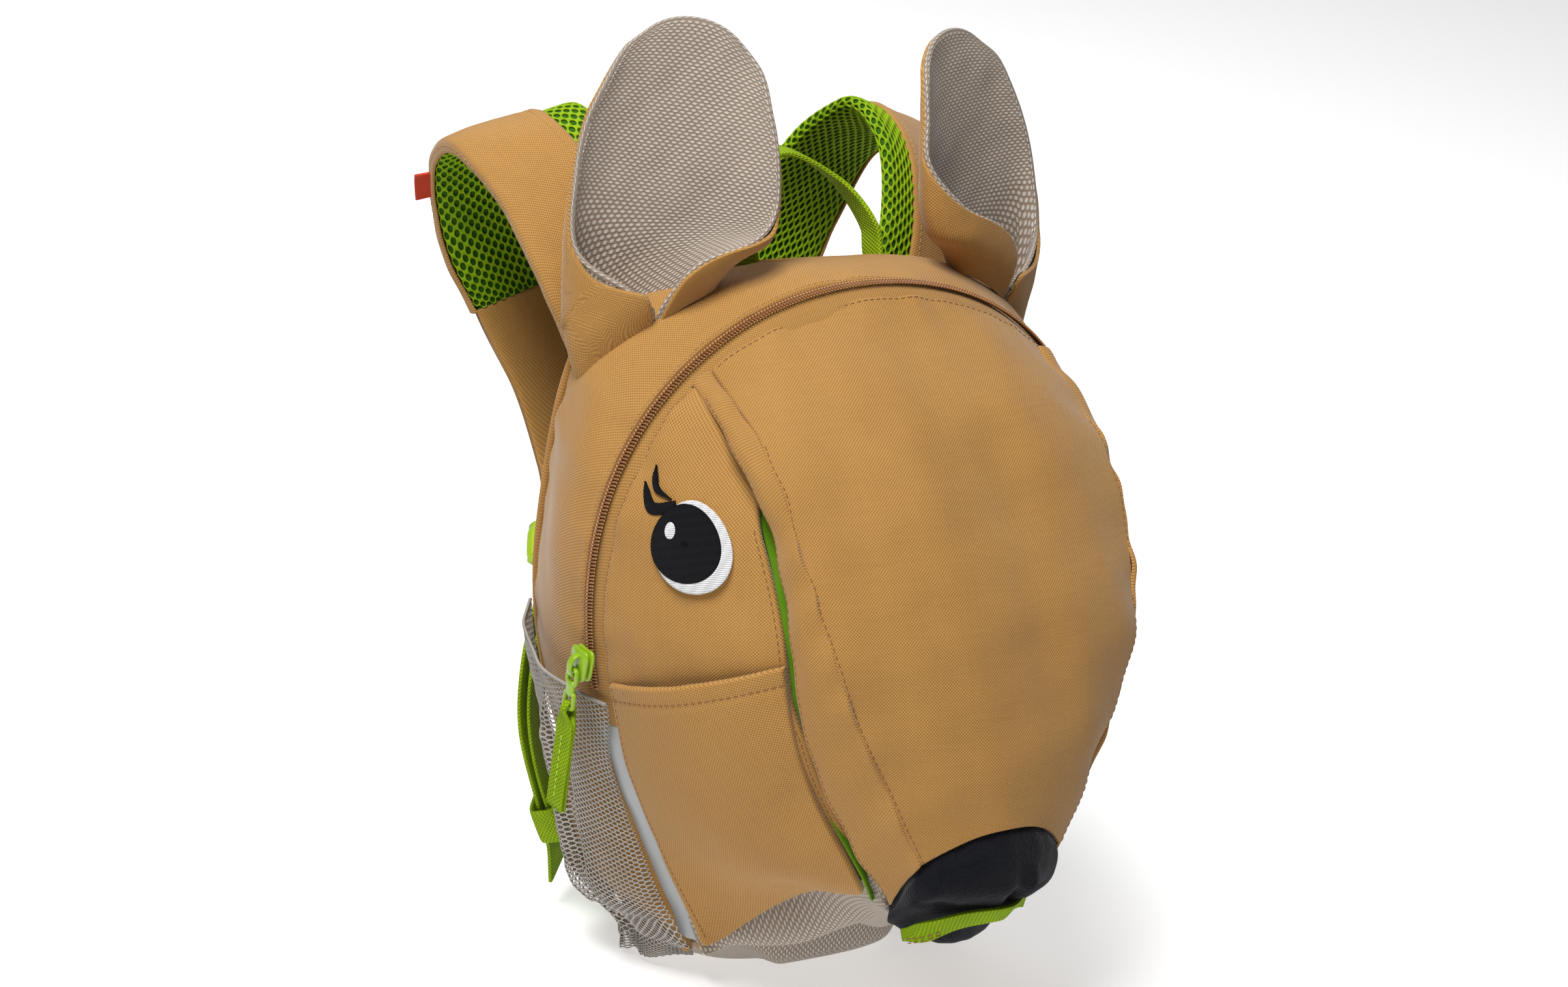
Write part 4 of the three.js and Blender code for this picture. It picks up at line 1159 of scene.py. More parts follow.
def piece(name, shape, look, nodes=(), body="bag"):
    """A Blender object from a shape, with its finish, its body and the nodes that it stands for."""
    material, slot = LOOKS[look]
    mesh = bpy.data.meshes.new(name)
    faces = shape.quads.tolist() + shape.triangles.tolist()
    mesh.from_pydata((shape.points * MM).tolist(), [], faces)
    attribute = mesh.attributes.new("mm", "FLOAT_VECTOR", "POINT")
    places = np.column_stack([shape.place, np.zeros(len(shape.place))])
    attribute.data.foreach_set("vector", places.astype(np.float32).ravel())
    mesh.polygons.foreach_set("use_smooth", np.ones(len(faces), bool))
    mesh.materials.append(material)
    thing = bpy.data.objects.new(name, mesh)
    bpy.context.scene.collection.objects.link(thing)
    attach(thing, body)
    if nodes:
        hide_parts(*nodes)
    return thing


SIDES = (("right", 1), ("left", -1))


def on_side(shape, sign):
    return shape if sign > 0 else shape.mirrored()


def sewn(name, panel, thick, look, nodes, sign=1):
    """A panel of cloth as a piece; the flat size that it was cut to is worked out but not used."""
    thing = piece(name, on_side(cloth(panel, thick), sign), look, nodes)
    flat, area = panel.cut()


def stitched(name, panel, rows, look, sign=1, extra=()):
    """Stitches as a piece; each row has an edge, a distance from it and where it starts and stops."""
    shapes = [stitches(*panel.line(edge, away), *span) for edge, away, *span in rows]
    piece(name, on_side(joined([*shapes, *extra]), sign), look)


# Body
def base_ring(scale, height):
    angle = full_turn(160)
    power = np.where(np.cos(angle) < 0, 2 / BASE_ROUND[-1], 2 / BASE_ROUND[1])
    square = lambda value: np.sign(value) * np.abs(value) ** power
    front = np.maximum(0, -np.sin(angle))
    rise = BASE_FRONT_RISE * front**4 * smoothstep(height, 3, BASE_RIM)
    lift = BASE["corner"] * smoothstep(front * np.maximum(0, -np.cos(angle)), 0.1, 0.45)
    lift = lift + BASE["rocker"] * smoothstep(front, 0.3, 1)
    rise = rise + lift * smoothstep(scale, 0.55, 0.95) * (1 - smoothstep(height, 2, BASE_RIM))
    x = BASE["half_width"] * scale * square(np.cos(angle))
    y = BASE["half_depth"] * scale * square(np.sin(angle))
    return xyz(x, BASE["centre_y"] + y, height + rise)


def make_base():
    rings = np.array([base_ring(scale, height) for scale, height in BASE_PROFILE])
    wave = ripple(rings, 11, 34, 0.5) * smoothstep(rings[..., 2], 2, 8)
    rings[..., :2] += unit(rings[..., :2] - (0, BASE["centre_y"])) * wave[..., None]
    piece("base_tray", lofted(rings), "beige", ["base"])


def make_gusset():
    u, v = grid("gusset")
    u = lerp(-GUSSET_END, GUSSET_END, u)
    panel = Panel(gusset_point, u, lerp(-0.02, 1.01, v))
    panel.move(roll(panel.left, 2.0) + roll(panel.right, 2.2) + panel.waves(3, "gusset"))
    panel.move(pucker(panel.low, panel.left, 5, "gusset_front"))
    panel.move(pucker(panel.low, panel.right, 6, "gusset_back") + groove(panel.left, 4.6, 0.9, 0.3))
    top, foot = NET["top"][1], NET["foot"]
    panel.move(GUSSET_BELLY * belly((np.abs(u[:, None]) - top) / (foot - top), v))
    sewn("gusset_band", panel, CLOTH["panel"], "brown", ["gusset"])
    stitched("gusset_stitches", panel, [("left", 2.2), ("right", 3.0)], "thread")


def make_back_panel():
    """The padded back, with a groove down its middle."""
    x, z, _, _ = BACK_ARCH.at(np.linspace(-1, 1, 200))
    middle_z = (BACK["top"] + BASE_RIM) / 2
    inner = [(scale, BACK_PAD * (1 - 0.35 * scale**4)) for scale in np.linspace(0.92, 0.04, 34)]
    ring = lambda scale, out: xyz(x * scale, BACK_Y + GAP + out, middle_z + (z - middle_z) * scale)
    rings = np.array([ring(*level) for level in BACK_EDGE + inner])
    pad = rings[len(BACK_EDGE) - 1 :]
    pad[..., 1] += ripple(pad, 21, 60, 0.6) - 1.3 * np.exp(-((pad[..., 0] / 3) ** 2))
    thing = piece("back_pad", lofted(rings), "brown", ["back_panel"])


def make_cheek(side, sign, seed):
    def surface(along, across):
        """The cheek, tucked under the muzzle's side above the slit and standing off it below."""
        way = cheek_point(along, np.ones_like(along)) - cheek_point(along, np.zeros_like(along))
        width = np.linalg.norm(way, axis=-1)
        closed = smoothstep(along, 0.46, 0.54) * (1 - smoothstep(along, 0.7, 0.76))
        opened = smoothstep(along, *SLIT_OPENS)
        tuck = TUCK * (1 - opened) - GAPE * opened * (1 - 1.4 * closed)
        reach = lerp(-0.3, width + tuck, across)
        beyond = np.maximum(reach - width, 0)
        return cheek_point(along, np.minimum(reach / width, 1)) + unit(way) * beyond[..., None]

    panel = Panel(surface, *grid("cheek"), weave="flat")
    fade = smoothstep(panel.left[:, -1:], *NARROW)
    covered = smoothstep(panel.low / panel.low[-1:], 0.46, 0.56)
    waves = panel.waves(seed, "cheek") * (1 - 0.8 * covered) - 1.2 * covered
    edges = roll(panel.left, 1.5) + roll(panel.right, 1.6)
    panel.move((edges + waves + pucker(panel.low, panel.left, seed + 2, "cheek")) * fade)
    name = f"cheek_{side}"
    sewn(f"{name}_cloth", panel, CLOTH["panel"], "brown", [name], sign)
    rows = [("left", 0.5, 4, 230), ("right", 2.2, 60, 170)]
    stitched(f"{name}_stitches", panel, rows, "thread_with_painted_seam_shade", sign)


def make_base_front(side, sign, seed):
    """The beige front of the base, which rises under the cheek pocket to the nose."""
    def surface(u, v):
        foot = pocket_foot(v)
        along = lerp(foot - 0.05, BASE_FRONT_END, u)
        point = cheek_point(along, v * (1.04 + 0.06 * smoothstep(along, 0.8, 0.9)))
        below = np.clip((along - foot) / (BASE_FRONT_END - foot), 0, 1)
        swell = np.abs(np.sin(np.pi * below)) ** 0.7 * smoothstep(v, 0.1, 0.7)
        return point + swell[..., None] * np.array(CHIN)

    panel = Panel(surface, *grid("base_front"), weave="flat")
    shown = smoothstep(panel.low, 10, 17)
    panel.move(lerp(0.3, LAYER + panel.waves(seed, "base_front"), shown) + roll(panel.right, 1.0))
    sewn(f"base_front_{side}", panel, CLOTH["panel"], "beige", (), sign)


def make_cheek_pocket(side, sign, seed):
    panel = Panel(pocket_point, *grid("cheek_pocket"), weave="flat")
    u, v = panel.low / panel.low[-1:], panel.left / panel.left[:, -1:]
    panel.move(LAYER + CLOTH["pocket"] + POCKET["open"] * (1 - u) * 4 * v * (1 - v))
    panel.move(roll(panel.low, 0.9) + roll(panel.high, 0.6))
    waves = panel.waves(seed, "cheek_pocket") * smoothstep(panel.high, 0, 30)
    gathers = pucker(panel.left, panel.low, seed + 2, "pocket_hem")
    edges = roll(panel.left, 1.4) + roll(panel.right, 1.4)
    edges += groove(panel.low, POCKET["stitched"], 1.1, 0.4)
    panel.move((waves + gathers + edges) * smoothstep(panel.left[:, -1:], *NARROW))
    for start_u, start_v, end_u, end_v in POCKET_DENTS:
        ends = pocket_point(np.array([start_u, end_u]), np.array([start_v, end_v]))
        panel.move(fold(panel.points, *ends, 6, -1.5))
    name = f"cheek_pocket_{side}"
    sewn(f"{name}_cloth", panel, CLOTH["pocket"], "brown", [name], sign)
    inner, _ = panel.line("low", POCKET["stitched"])
    hem, normals = panel.line("low", 0.8)
    tack = lerp(inner[3], hem[11], np.linspace(0, 1, 12)[:, None])
    tack = stitches(tack, np.repeat(normals[3:4], 12, axis=0))
    rows = [("low", POCKET["stitched"], 3), ("left", 2.2, 1, 118)]
    stitched(f"{name}_stitches", panel, rows, "thread_with_painted_seam_shade", sign, [tack])


def make_reflective_strip(side, sign, seed):
    surface = lambda u, v: seam_band(lerp(REFLECTIVE_START, 0.985, u), lerp(-0.05, 1.1, v))
    panel = Panel(surface, *grid("reflective"))
    panel.move(roll(panel.left, 0.8) + roll(panel.right, 0.8) + panel.waves(seed, "reflective"))
    name = f"reflective_strip_{side}"
    sewn(f"{name}_tape", panel, CLOTH["reflective"], "reflective", [name], sign)


def make_net_pocket(side, sign, seed):
    size = (NET["length"] + NET["skirt"], NET["width"])
    surface = lambda u, v: net_point(u, v, BASE_ROUND[sign])

    def place(along, across):
        u, v = along / NET["length"], across / NET["width"]
        flat = surface(u, v)
        bow = np.sin(np.pi * np.clip(v, 0, 1))
        rise = LAYER + 0.6 + NET["open"] * np.clip(1 - u, 0, 1) * bow + NET["belly"] * belly(u, v)
        creases = ripple(flat, seed, 26, 0.9) + ripple(flat, seed + 1, 11, 0.35) * smoothstep(v, 0.3, 0.6)
        for at, width, height in NET_CREASES:
            crease = np.exp(-(((across - at - 6 * u) / width) ** 2))
            creases += height * crease * smoothstep(u, 0.02, 0.3)
        normal = facing_out(normals_of(surface, u, v, 0.004), flat)
        return flat + normal * (rise + creases * bow**0.5)[..., None]

    name = f"mesh_pocket_{side}"
    net = perforated(place, size, (2.3, 1.6), (1.95, 1.8), 0.45)
    thing = piece(f"{name}_net", on_side(net, sign), "net", [name])
    hem = tube_along(place(np.full(60, 0.5), np.linspace(0.3, size[1] - 0.3, 60)), 1.5, 1.1)
    edge = piece(f"{name}_hem", on_side(hem, sign), "net_edge")
    spread = lambda u, v: place(u * size[0], v * size[1])
    (length, width), _ = Panel(spread, np.linspace(0, 1, 60), np.linspace(0, 1, 30)).cut()


# Muzzle pocket
def make_muzzle():
    u, v = grid("muzzle")
    panel = Panel(muzzle_point, lerp(-1.02, 1.02, u), v)
    near = np.minimum(panel.low, panel.high)
    panel.move(roll(near, 1.2) + roll(panel.left, 1.2) + roll(panel.right, 0.6))
    panel.move(panel.waves(31, "muzzle") + pucker(panel.low, panel.left, 34, "muzzle_top"))
    lower = smoothstep(panel.left, 90, 150)
    panel.move(pucker(panel.left, near, 33, "muzzle_seam") * (1 - 0.6 * lower))
    sewn("muzzle_cloth", panel, CLOTH["panel"], "brown", ["muzzle_front"])
    rows = [("left", 1.6, 3), ("low", 1.3, 40), ("high", 1.3, 40)]
    stitched("muzzle_stitches", panel, rows, "thread_with_painted_seam_shade")


def make_muzzle_side(side, sign, seed):
    panel = Panel(muzzle_side_point, *grid("muzzle_side"))
    gathers = pucker(panel.low, panel.left, seed + 1, "muzzle_side")
    gathers += pucker(panel.low, panel.right, seed + 2, "slit")
    edges = roll(panel.left, 0.8) + roll(panel.right, 1.0)
    fade = smoothstep(panel.left[:, -1:], 2, 9)
    panel.move((edges + gathers + panel.waves(seed, "muzzle_side")) * fade)
    panel.move(1.3 * (1 - smoothstep(panel.low, 30, 70)) * (1 - smoothstep(panel.right, 4, 9)))
    name = f"muzzle_side_{side}"
    sewn(f"{name}_cloth", panel, CLOTH["panel"], "brown", [name], sign)
    stitched(f"{name}_stitches", panel, [("right", 1.4, 8)], "thread_with_painted_seam_shade", sign)


def make_lining():
    surface = lambda u, v: lining_point(u, v * LINING["end"])
    panel = Panel(surface, np.linspace(-1.03, 1.03, 44), np.linspace(0, 1, 60))
    panel.move(panel.waves(41, "lining"))
    sewn("front_lining_cloth", panel, CLOTH["thin"], "lining", ["front_lining"])


def make_nose():
    panel = Panel(nose_point, np.linspace(0, 1, 92), lerp(-0.05, 1, stops(114, 1.9)))
    narrow = smoothstep(panel.left / panel.left[:, -1:], 0.35, 0.62)
    panel.points[..., 0] *= 1 - NOSE_NARROWS * narrow
    panel.move(panel.waves(51, "nose") - 2.2 * (1 - smoothstep(panel.left, 0, 5.5)))
    for crease in NOSE_FOLDS:
        panel.move(fold(panel.points, *crease))
    sewn("nose_fleece", panel, CLOTH["fleece"], "fleece", ["nose"])


def make_nose_webbing():
    """The strip under the nose, drawn up and narrowed where it is sewn in at its far end."""
    path, across = (Spline(across_middle(column(NOSE_WEBBING, name))) for name in ("at", "across"))
    t = np.linspace(*NOSE_WEBBING_SPAN, 70)
    middle, wide, out = frames(path, across, t)
    lifted = smoothstep(middle[:, 0], 4, 22)[:, None]
    middle = middle + lifted * np.array(NOSE_WEBBING_LIFT) + wide * 1.2
    from_end = np.minimum(t - t[0], t[-1] - t)
    width = NOSE_WEBBING_WIDTH * lerp(0.4, 0.75, smoothstep(from_end, 0, 0.16))
    section = tapered(WEBBING_SECTION, width, WEBBING["thick"])
    piece("nose_webbing_strip", sweep((middle, wide, out), section), "webbing", ["nose_webbing"])
    out = facing_out(out, middle)
    rows = []
    for below in (1.4, 2.9):
        line = middle - wide * below + out * WEBBING["thick"] / 2
        rows.append(stitches(line[-18:-2], out[-18:-2]))
    piece("nose_webbing_stitches", joined(rows), "thread_with_painted_seam_shade")


# Zip
def make_zip_tape():
    """The tape, which runs on as a facing under the edges of the face."""
    surface = lambda u, v: seam_band(lerp(-TAPE_END, TAPE_END, u), lerp(-0.12, 1.9, v))
    panel = Panel(surface, np.linspace(0, 1, 240), np.linspace(0, 1, 14))
    panel.move(panel.waves(61, "zip_tape") - 0.2)
    sewn("zip_tape_cloth", panel, CLOTH["thin"], "tape", ["zip_tape"])


def make_zip_coil():
    s = np.linspace(-ZIP_STOP, ZIP_STOP, 500)
    w = np.full_like(s, 0.5 - COIL["shift"] / (2 * ZIP_HALF))
    line = seam_band(s, w, 0.9)
    normals = unit(seam_band(s, w, 1.9) - line)
    origins, along, across, out = along_line(line, normals, COIL["pitch"])
    coils = []
    threads = [instances(grain(1.0, 1.1, 0.35, 5), origins + out * 0.62, along, across, out)]
    for sign in (-1, 1):
        at = origins + across * sign * 1.15 + along * sign * COIL["pitch"] / 4
        way = unit(across + along * 0.25 * sign)
        coils.append(instances(grain(2.5, 1.0, 0.75, 6), at, way, along, out))
        at = origins + across * sign * 2.65
        threads.append(instances(grain(0.8, 0.4, 0.3, 4), at, along, across, out))
    piece("zip_coil_rows", joined(coils), "coil", ["zip_coil"])
    piece("zip_coil_thread", joined(threads), "thread")


ZIP_FOOT = seam_band(np.array(-ZIP_END), np.array(0.5), COIL["height"] + SLIDER["above"])
PULL_AXIS = ZIP_FOOT + (-SLIDER["thick"] - SLIDER["window"] / 2, 0, -1)


def plate(outline, thick, bevel, at):
    """A flat plate with bevelled edges, from an outline of pairs, that faces the side of the bag."""
    shrunk = outline * (1 - bevel / np.abs(outline).max())
    half = thick / 2
    rows = [(shrunk, -half), (outline, bevel - half), (outline, half - bevel), (shrunk, half)]
    return lofted([at + flat[:, :1] * Y_AXIS + flat[:, 1:] * Z_AXIS + out * OUT for flat, out in rows])


def loop(width, length, radius, count=64):
    """A rounded rectangle as a closed line of pairs."""
    return rounded(width, length, full_turn(count), radius / max(width, length) + 0.25)


def ring_bar(line, x, y, origin, bar, thick):
    """A closed bar along a line of pairs in the plane of x and y."""
    middle = origin + line[:, :1] * x + line[:, 1:] * y
    tangent = unit(np.roll(middle, -1, axis=0) - np.roll(middle, 1, axis=0))
    out = np.broadcast_to(np.cross(x, y), middle.shape)
    return sweep((middle, np.cross(out, tangent), out), oblong(bar, thick, 12, 0.6), closed=True)


def make_slider():
    """Two plates with a post between them and a bridge over them."""
    turn = full_turn(48)
    above, below = np.maximum(0, np.sin(turn)), np.maximum(0, -np.sin(turn))
    wings = 1 + 0.32 * above * np.abs(np.cos(turn)) - 0.12 * below
    outline = loop(SLIDER["width"] + 1, SLIDER["length"] + 1, 4, 48) * wings[:, None]
    thick = SLIDER["thick"]
    shapes = [plate(outline, 1.3, 0.35, ZIP_FOOT + OUT * height) for height in (0.6, thick - 0.7)]
    shapes.append(plate(loop(2.6, 4.5, 2, 24), 2.6, 0.3, ZIP_FOOT + OUT * thick / 2 + Z_AXIS * 2.5))
    arc = np.linspace(0, np.pi, 24)
    rise = thick - 0.6 + np.sin(arc) ** 0.7 * (SLIDER["window"] + 0.9)
    up = np.cos(arc) * (SLIDER["length"] / 2 - 1.6)
    bridge = Spline(ZIP_FOOT + np.outer(rise, OUT) + np.outer(up, Z_AXIS))
    section = oblong(SLIDER["bridge"] + 0.6, 1.2, 14, 0.6)
    shapes.append(sweep(frames(bridge, Y_AXIS, np.linspace(0, 1, 40)), section))
    piece("zip_slider_body", joined(shapes), "metal", ["zip_slider"])


def make_pull():
    """Two eyes joined by a neck, hung from the slider's bridge."""
    bar, thick, eye = PULL["bar"], PULL["thick"], PULL["eye"] + PULL["bar"]
    low = PULL["length"] - bar - eye
    shapes = []
    for down, radius in ((eye / 2, 2), (low + eye / 2, 1)):
        line = loop(PULL["width"] - bar, eye, radius)
        shapes.append(ring_bar(line, Y_AXIS, Z_AXIS, PULL_AXIS - Z_AXIS * down, bar, thick))
    neck = loop(PULL["width"] * 0.62, low - eye + 2 * bar, 2, 32)
    shapes.append(plate(neck, thick, 0.3, PULL_AXIS - Z_AXIS * (low + eye) / 2))
    piece("zip_pull_fork", joined(shapes), "metal", ["zip_pull"], body="zip_pull")


def make_tab():
    """A webbing tab, folded through the lower eye of the pull."""
    bar_z = PULL_AXIS[2] + PULL["bar"] - PULL["length"]
    turn = PULL["thick"] / 2 + TAB["thick"] / 2 + TAB["clear"]
    flat = TAB["thick"] / 2 + TAB["clear"] * 0.2
    half = [(flat, -TAB["length"]), (flat, -TAB["neck"]), (turn, 0)]
    rows = [(-out, up) for out, up in half] + [(0, turn)] + half[::-1]
    path = Spline([(PULL_AXIS[0] + out, PULL_AXIS[1], bar_z + up) for out, up in rows])
    t = np.linspace(0, 1, 120)
    narrow = PULL["width"] - 2 * PULL["bar"] - 2 * TAB["clear"]
    width = lerp(narrow, TAB["width"], smoothstep(np.abs(t - 0.5), 0.2, 0.36))
    strip = sweep(frames(path, Y_AXIS, t), tapered(WEBBING_SECTION, width, TAB["thick"]))
    piece("zip_tab_webbing", strip, "webbing", ["zip_tab"], body="zip_pull")
    down = np.linspace(-TAB["neck"] - 4, -TAB["length"] + 3, 30)
    line = xyz(PULL_AXIS[0] - flat - TAB["thick"] / 2, PULL_AXIS[1], bar_z + down)
    row = stitches(line, np.broadcast_to(OUT, line.shape))
    piece("zip_tab_stitches", row, "lime_thread", body="zip_pull")


# Ears
def make_ear(side, sign, seed):
    def sheet(rounding, weave="middle"):
        surface = lambda u, v: ear_point(2 * u - 1, v, sign, rounding)
        return Panel(surface, *grid("ear"), outward=False, weave=weave)

    front, back = sheet(EAR_ROUNDING, "rows"), sheet(EAR_ROUNDING)
    front.normals = sheet(0.0).normals
    back.normals = -front.normals
    waves = front.waves(seed, "ear") * smoothstep(front.low[-1:], 10, 60)
    edge = roll(np.minimum(np.minimum(front.low, front.high), front.right), 0.8)
    front.move(GAP / 2 + EAR_CLOTH + waves + edge)
    back.move(GAP / 2 + EAR_CLOTH - waves + edge)
    name = f"ear_{side}"
    for part, node, panel, look in (("inner", "front", front, "beige"), ("outer", "back", back, "brown")):
        nodes = [f"{name}_{node}"]
        sewn(f"{name}_{part}", panel, CLOTH["ear"], look, nodes, sign)
    face = front.face(-0.5)
    rim = np.vstack([face[0], face[1:, -1], face[-1, -2::-1]])
    piece(f"{name}_rim", on_side(tube_along(rim, 2.0, 2.0), sign), "beige")


# Straps
def make_strap_pad(side, sign):
    """A foam core in a spacer mesh, which is open where the cover lies."""
    core = pad_corner(-0.8, full_turn(48, 0.5))
    foam = sweep(strap_frames(np.linspace(0, PAD_SPLIT, 90)), core)
    foam_piece = piece(f"strap_{side}_foam", on_side(foam, sign), "foam")
    corners = pad_corner(0, np.radians(np.linspace(*MESH_TURN, 400)))
    run = lengths(corners, 0)
    shares = np.linspace(0, PAD_SPLIT, 400)
    length = lengths(STRAP_PATH(shares), 0)

    def place(along, across):
        middle, wide, out = strap_frames(np.interp(along, length, shares))
        a, h = (np.interp(across, run, values) for values in corners.T)
        return middle + wide * a[:, None] + out * h[:, None]

    net = perforated(place, (length[-1], run[-1]), (4.6, 2.1), (3.1, 2.2), 0.75, 12)
    net_piece = piece(f"strap_{side}_mesh", on_side(net, sign), "spacer", [f"strap_{side}_pad"])


def make_strap_cover(side, sign, seed):
    def surface(u, v):
        middle, wide, out = strap_frames(lerp(0, PAD_SPLIT, u))
        corner = pad_corner(COVER["out"], np.radians(lerp(COVER["start"], COVER["end"], v)))
        return middle + wide * corner[..., :1] + out * corner[..., 1:]

    panel = Panel(surface, stops(235, 2.4), np.linspace(0, 1, 46), outward=False)
    _, _, out = strap_frames(np.array([0.3]))
    if np.sum(panel.normals[:, 10] * out) < 0:
        panel.normals = -panel.normals
    panel.move(panel.waves(seed, "strap_cover") - 0.2)
    panel.move(roll(panel.left, 0.8) + groove(panel.left, 4.0, 0.9, 0.3))
    name = f"strap_{side}_cover"
    sewn(f"{name}_cloth", panel, CLOTH["cover"], "brown", [name], sign)
    stitched(f"{name}_stitches", panel, [("left", 3.4), ("right", 3.0)], "thread", sign)


def make_strap_tail(side, sign, seed):
    t = np.linspace(PAD_SPLIT - 0.004, 1, 60)
    narrow = smoothstep(t, PAD_SPLIT, 1)
    width = lerp(PAD["width"], WEBBING["width"], narrow)
    thick = lerp(TAIL["from"], TAIL["to"], narrow)
    section = tapered(rounded(1, 1, full_turn(40, 0.5), PAD_ROUND), width, thick)
    shape = sweep(strap_frames(t), section)
    shape.points += ripple(shape.points, seed, 25, 0.35)[:, None] * np.array([0.2, 0.9, 0.3])
    thing = piece(f"strap_{side}_tail_cloth", on_side(shape, sign), "brown", [f"strap_{side}_tail"])


def make_label():
    edge = PAD["width"] / 2 + LABEL["clear"] / 2 + LABEL["width"] / 2
    section = oblong(LABEL["width"] + LABEL["clear"], LABEL["thick"], 20, 0.3) + (edge, 0)
    shape = sweep(strap_frames(np.linspace(*LABEL["span"], 12)), section).mirrored()
    piece("strap_label_tab", shape, "red", ["strap_label"])


def make_lock(side, sign):
    _, wide, out = (row[0] for row in strap_frames(np.array([1.0])))
    along = np.cross(out, wide)
    at = np.array(LOCK["at"], float)
    half, reach = LOCK["length"] / 2, LOCK["width"] / 2 - 1
    shapes = []
    for place, bar, share in ((1.8 - half, 3.4, 0.9), (0.0, LOCK["bar"], 0.75), (half - 1.8, 3.4, 0.9)):
        path = np.linspace(-reach, reach, 16)[:, None] * wide + at + along * place
        rows = (path, np.broadcast_to(along, path.shape), np.broadcast_to(out, path.shape))
        shapes.append(sweep(rows, oblong(bar, LOCK["thick"] * share, 16, 0.6)))
    line = loop(LOCK["width"] - 3.4, LOCK["length"] - 3.6, 2)
    shapes.append(ring_bar(line, wide, along, at, 3.6, LOCK["thick"]))
    piece(f"ladder_lock_{side}_frame", on_side(joined(shapes), sign), "plastic", [f"ladder_lock_{side}"])


def make_webbing(side, sign):
    for name, path in (("anchor_webbing", ANCHOR_PATH), ("free_webbing", FREE_PATH)):
        strip = ribbon(path, WEBBING_ACROSS, WEBBING["width"], WEBBING["thick"])
        piece(f"{name}_{side}_strip", on_side(strip, sign), "webbing", [f"{name}_{side}"])
    at = KEEPER["at"]
    tangent = unit(ANCHOR_PATH.slope(at))
    wide = np.array(WEBBING_ACROSS, float)
    wide = unit(wide - tangent * (wide @ tangent))
    middle = (ANCHOR_PATH(at) + FREE_PATH(at)) / 2
    line = loop(KEEPER["width"] - 2, KEEPER["thick"] * 0.72, 3)
    sleeve = ring_bar(line, wide, np.cross(tangent, wide), middle, KEEPER["wall"], KEEPER["length"])
    piece(f"keeper_{side}_elastic", on_side(sleeve, sign), "webbing", [f"keeper_{side}"])


def make_haul_loop():
    path = Spline(across_middle(HAUL))
    strip = ribbon(path, Y_AXIS, HAUL_WEBBING["width"], HAUL_WEBBING["thick"], HAUL_SPAN)
    piece("haul_loop_webbing", strip, "webbing", ["haul_loop"])


# Eyes
def make_eye(side, sign):
    along, across = np.array(EYE["along"]), np.array(EYE["across"])
    step = 0.02
    middle = cheek_point(along, across)
    down = np.linalg.norm(cheek_point(along + step, across) - middle) / step
    forward = np.linalg.norm(cheek_point(along, across + step) - middle) / step

    def raised(x, y, height):
        """Rings on the cheek, x towards the muzzle and y up, in millimetres from the eye's middle."""
        u, v = along - y / down, across + x / forward
        flat = cheek_point(u, v)
        normal = facing_out(normals_of(cheek_point, u, v, 0.004), flat)
        shape = lofted(flat + normal * height[..., None])
        shape.place[: x.size] = np.column_stack([x.ravel(), y.ravel()])
        return shape

    def disc(centre, size, base, rise):
        radius, drop, share = np.array(EYE_DOME).T[..., None]
        turn = full_turn(72)
        x = centre[0] + radius * np.cos(turn) * size[0]
        y = centre[1] + radius * np.sin(turn) * size[1]
        return raised(x, y, np.broadcast_to(base + drop + rise * share, x.shape))

    def lash(rows, widths):
        path = Spline([(x, y, 0) for x, y in rows])
        t = np.linspace(0, 1, 40)
        tangent = unit(path.slope(t))
        half = Spline([(width / 2, 0, 0) for width in widths])(t)[:, :1]
        turn = full_turn(12)
        x, y = (path(t)[:, k, None] for k in (0, 1))
        x = x - tangent[:, 1:2] * half * np.cos(turn)
        y = y + tangent[:, :1] * half * np.cos(turn)
        return raised(x, y, np.broadcast_to(LASH_BASE + LASH_RISE * np.sin(turn), x.shape))

    white, black, glint = (disc(**EYE_DISCS[name]) for name in ("white", "black", "glint"))
    black = joined([black, *(lash(**row) for row in LASHES)])
    piece(f"eye_{side}_black", on_side(black, sign), "black_satin", [f"eye_{side}"])
    piece(f"eye_{side}_white", on_side(joined([white, glint]), sign), "white_satin")


# Camera, light and floor
def make_camera():
    data = bpy.data.cameras.new("camera")
    data.lens, data.sensor_width, data.sensor_fit = CAMERA["lens"], CAMERA["sensor"], "HORIZONTAL"
    data.clip_end = 50
    camera = bpy.data.objects.new("camera", data)
    bpy.context.scene.collection.objects.link(camera)
    matrix = np.eye(4)
    back, at = np.negative(CAMERA["forward"]), np.multiply(CAMERA["at"], MM)
    matrix[:3] = np.column_stack([CAMERA["right"], CAMERA["up"], back, at])
    camera.matrix_world = Matrix(matrix.tolist())
    bpy.context.scene.camera = camera


def area_light(name, at, size, power):
    data = bpy.data.lights.new(name, "AREA")
    data.energy, data.size = power, size
    lamp = bpy.data.objects.new(name, data)
    lamp.location = at
    way = Vector(AIM) - lamp.location
    lamp.rotation_euler = way.to_track_quat("-Z", "Y").to_euler()
    bpy.context.scene.collection.objects.link(lamp)


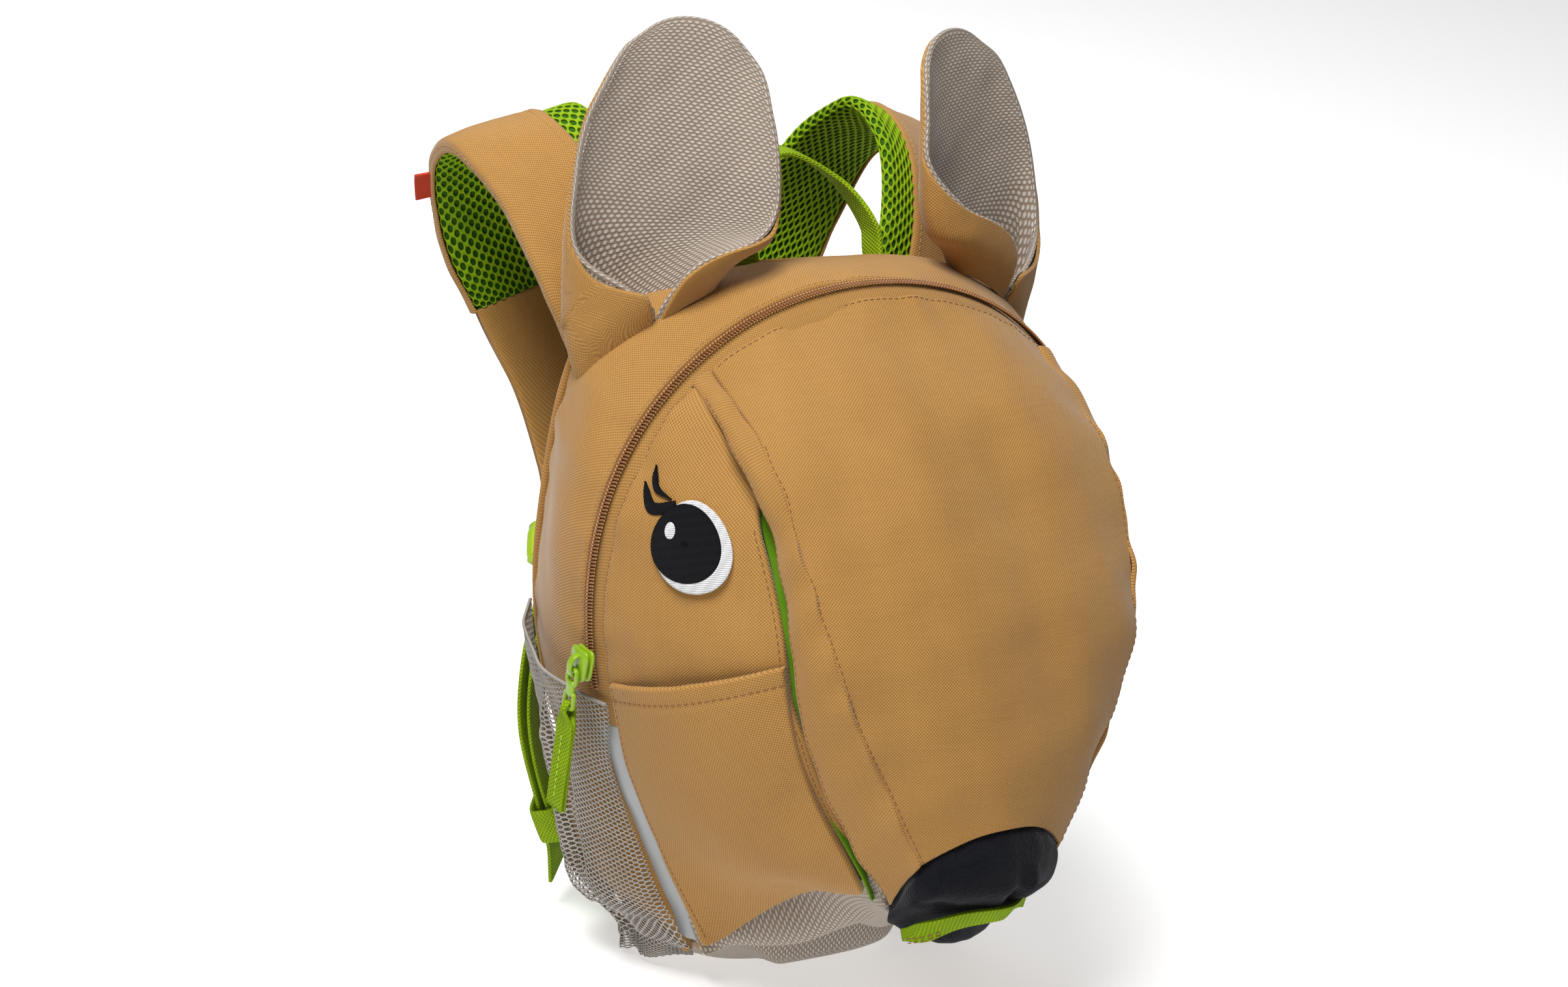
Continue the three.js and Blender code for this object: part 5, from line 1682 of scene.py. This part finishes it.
def make_world():
    """A white room that gives less light than the camera sees of it."""
    world = bpy.data.worlds.new("studio")
    world.use_nodes = True
    nodes, links = world.node_tree.nodes, world.node_tree.links
    nodes["Background"].inputs["Color"].default_value = (1, 1, 1, 1)
    rays = nodes.new("ShaderNodeLightPath")
    blend = nodes.new("ShaderNodeMapRange")
    blend.inputs["To Min"].default_value = SKY["light"]
    blend.inputs["To Max"].default_value = SKY["seen"]
    links.new(rays.outputs["Is Camera Ray"], blend.inputs["Value"])
    links.new(blend.outputs["Result"], nodes["Background"].inputs["Strength"])
    bpy.context.scene.world = world


def make_stage():
    make_world()
    for name, light in LIGHTS.items():
        area_light(name, **light)
    mesh = bpy.data.meshes.new("floor")
    circle = [(FLOOR["radius"] * math.cos(a), FLOOR["radius"] * math.sin(a), 0) for a in full_turn(96)]
    mesh.from_pydata(circle, [], [list(range(len(circle)))])
    paper = Look("floor_paper", 0.9, Specular_IOR_Level=0.1)
    paper.colour(paper.mix(paper.noise(400, 2, space="object"), (0.93, 0.93, 0.93), (0.97, 0.97, 0.97)))
    paper.shader.inputs["Emission Color"].default_value = (1, 1, 1, 1)
    paper.shader.inputs["Emission Strength"].default_value = FLOOR["glow"]
    mesh.materials.append(paper.material)
    floor = bpy.data.objects.new("floor", mesh)
    bpy.context.scene.collection.objects.link(floor)
    floor.visible_diffuse = False
    floor.visible_shadow = False
    bpy.context.scene.view_settings.view_transform = "Standard"


make_camera()
make_base()
make_gusset()
make_back_panel()
for seed, (side, sign) in zip((100, 200), SIDES):
    make_cheek(side, sign, seed)
    make_cheek_pocket(side, sign, seed + 10)
    make_base_front(side, sign, seed + 15)
    make_reflective_strip(side, sign, seed + 20)
    make_net_pocket(side, sign, seed + 30)
    make_muzzle_side(side, sign, seed + 40)
    make_ear(side, sign, seed + 50)
    make_strap_pad(side, sign)
    make_strap_cover(side, sign, seed + 60)
    make_strap_tail(side, sign, seed + 70)
    make_lock(side, sign)
    make_webbing(side, sign)
    make_eye(side, sign)
make_muzzle()
make_lining()
make_nose()
make_nose_webbing()
make_zip_tape()
make_zip_coil()
make_slider()
make_pull()
make_tab()
make_label()
make_haul_loop()
make_stage()
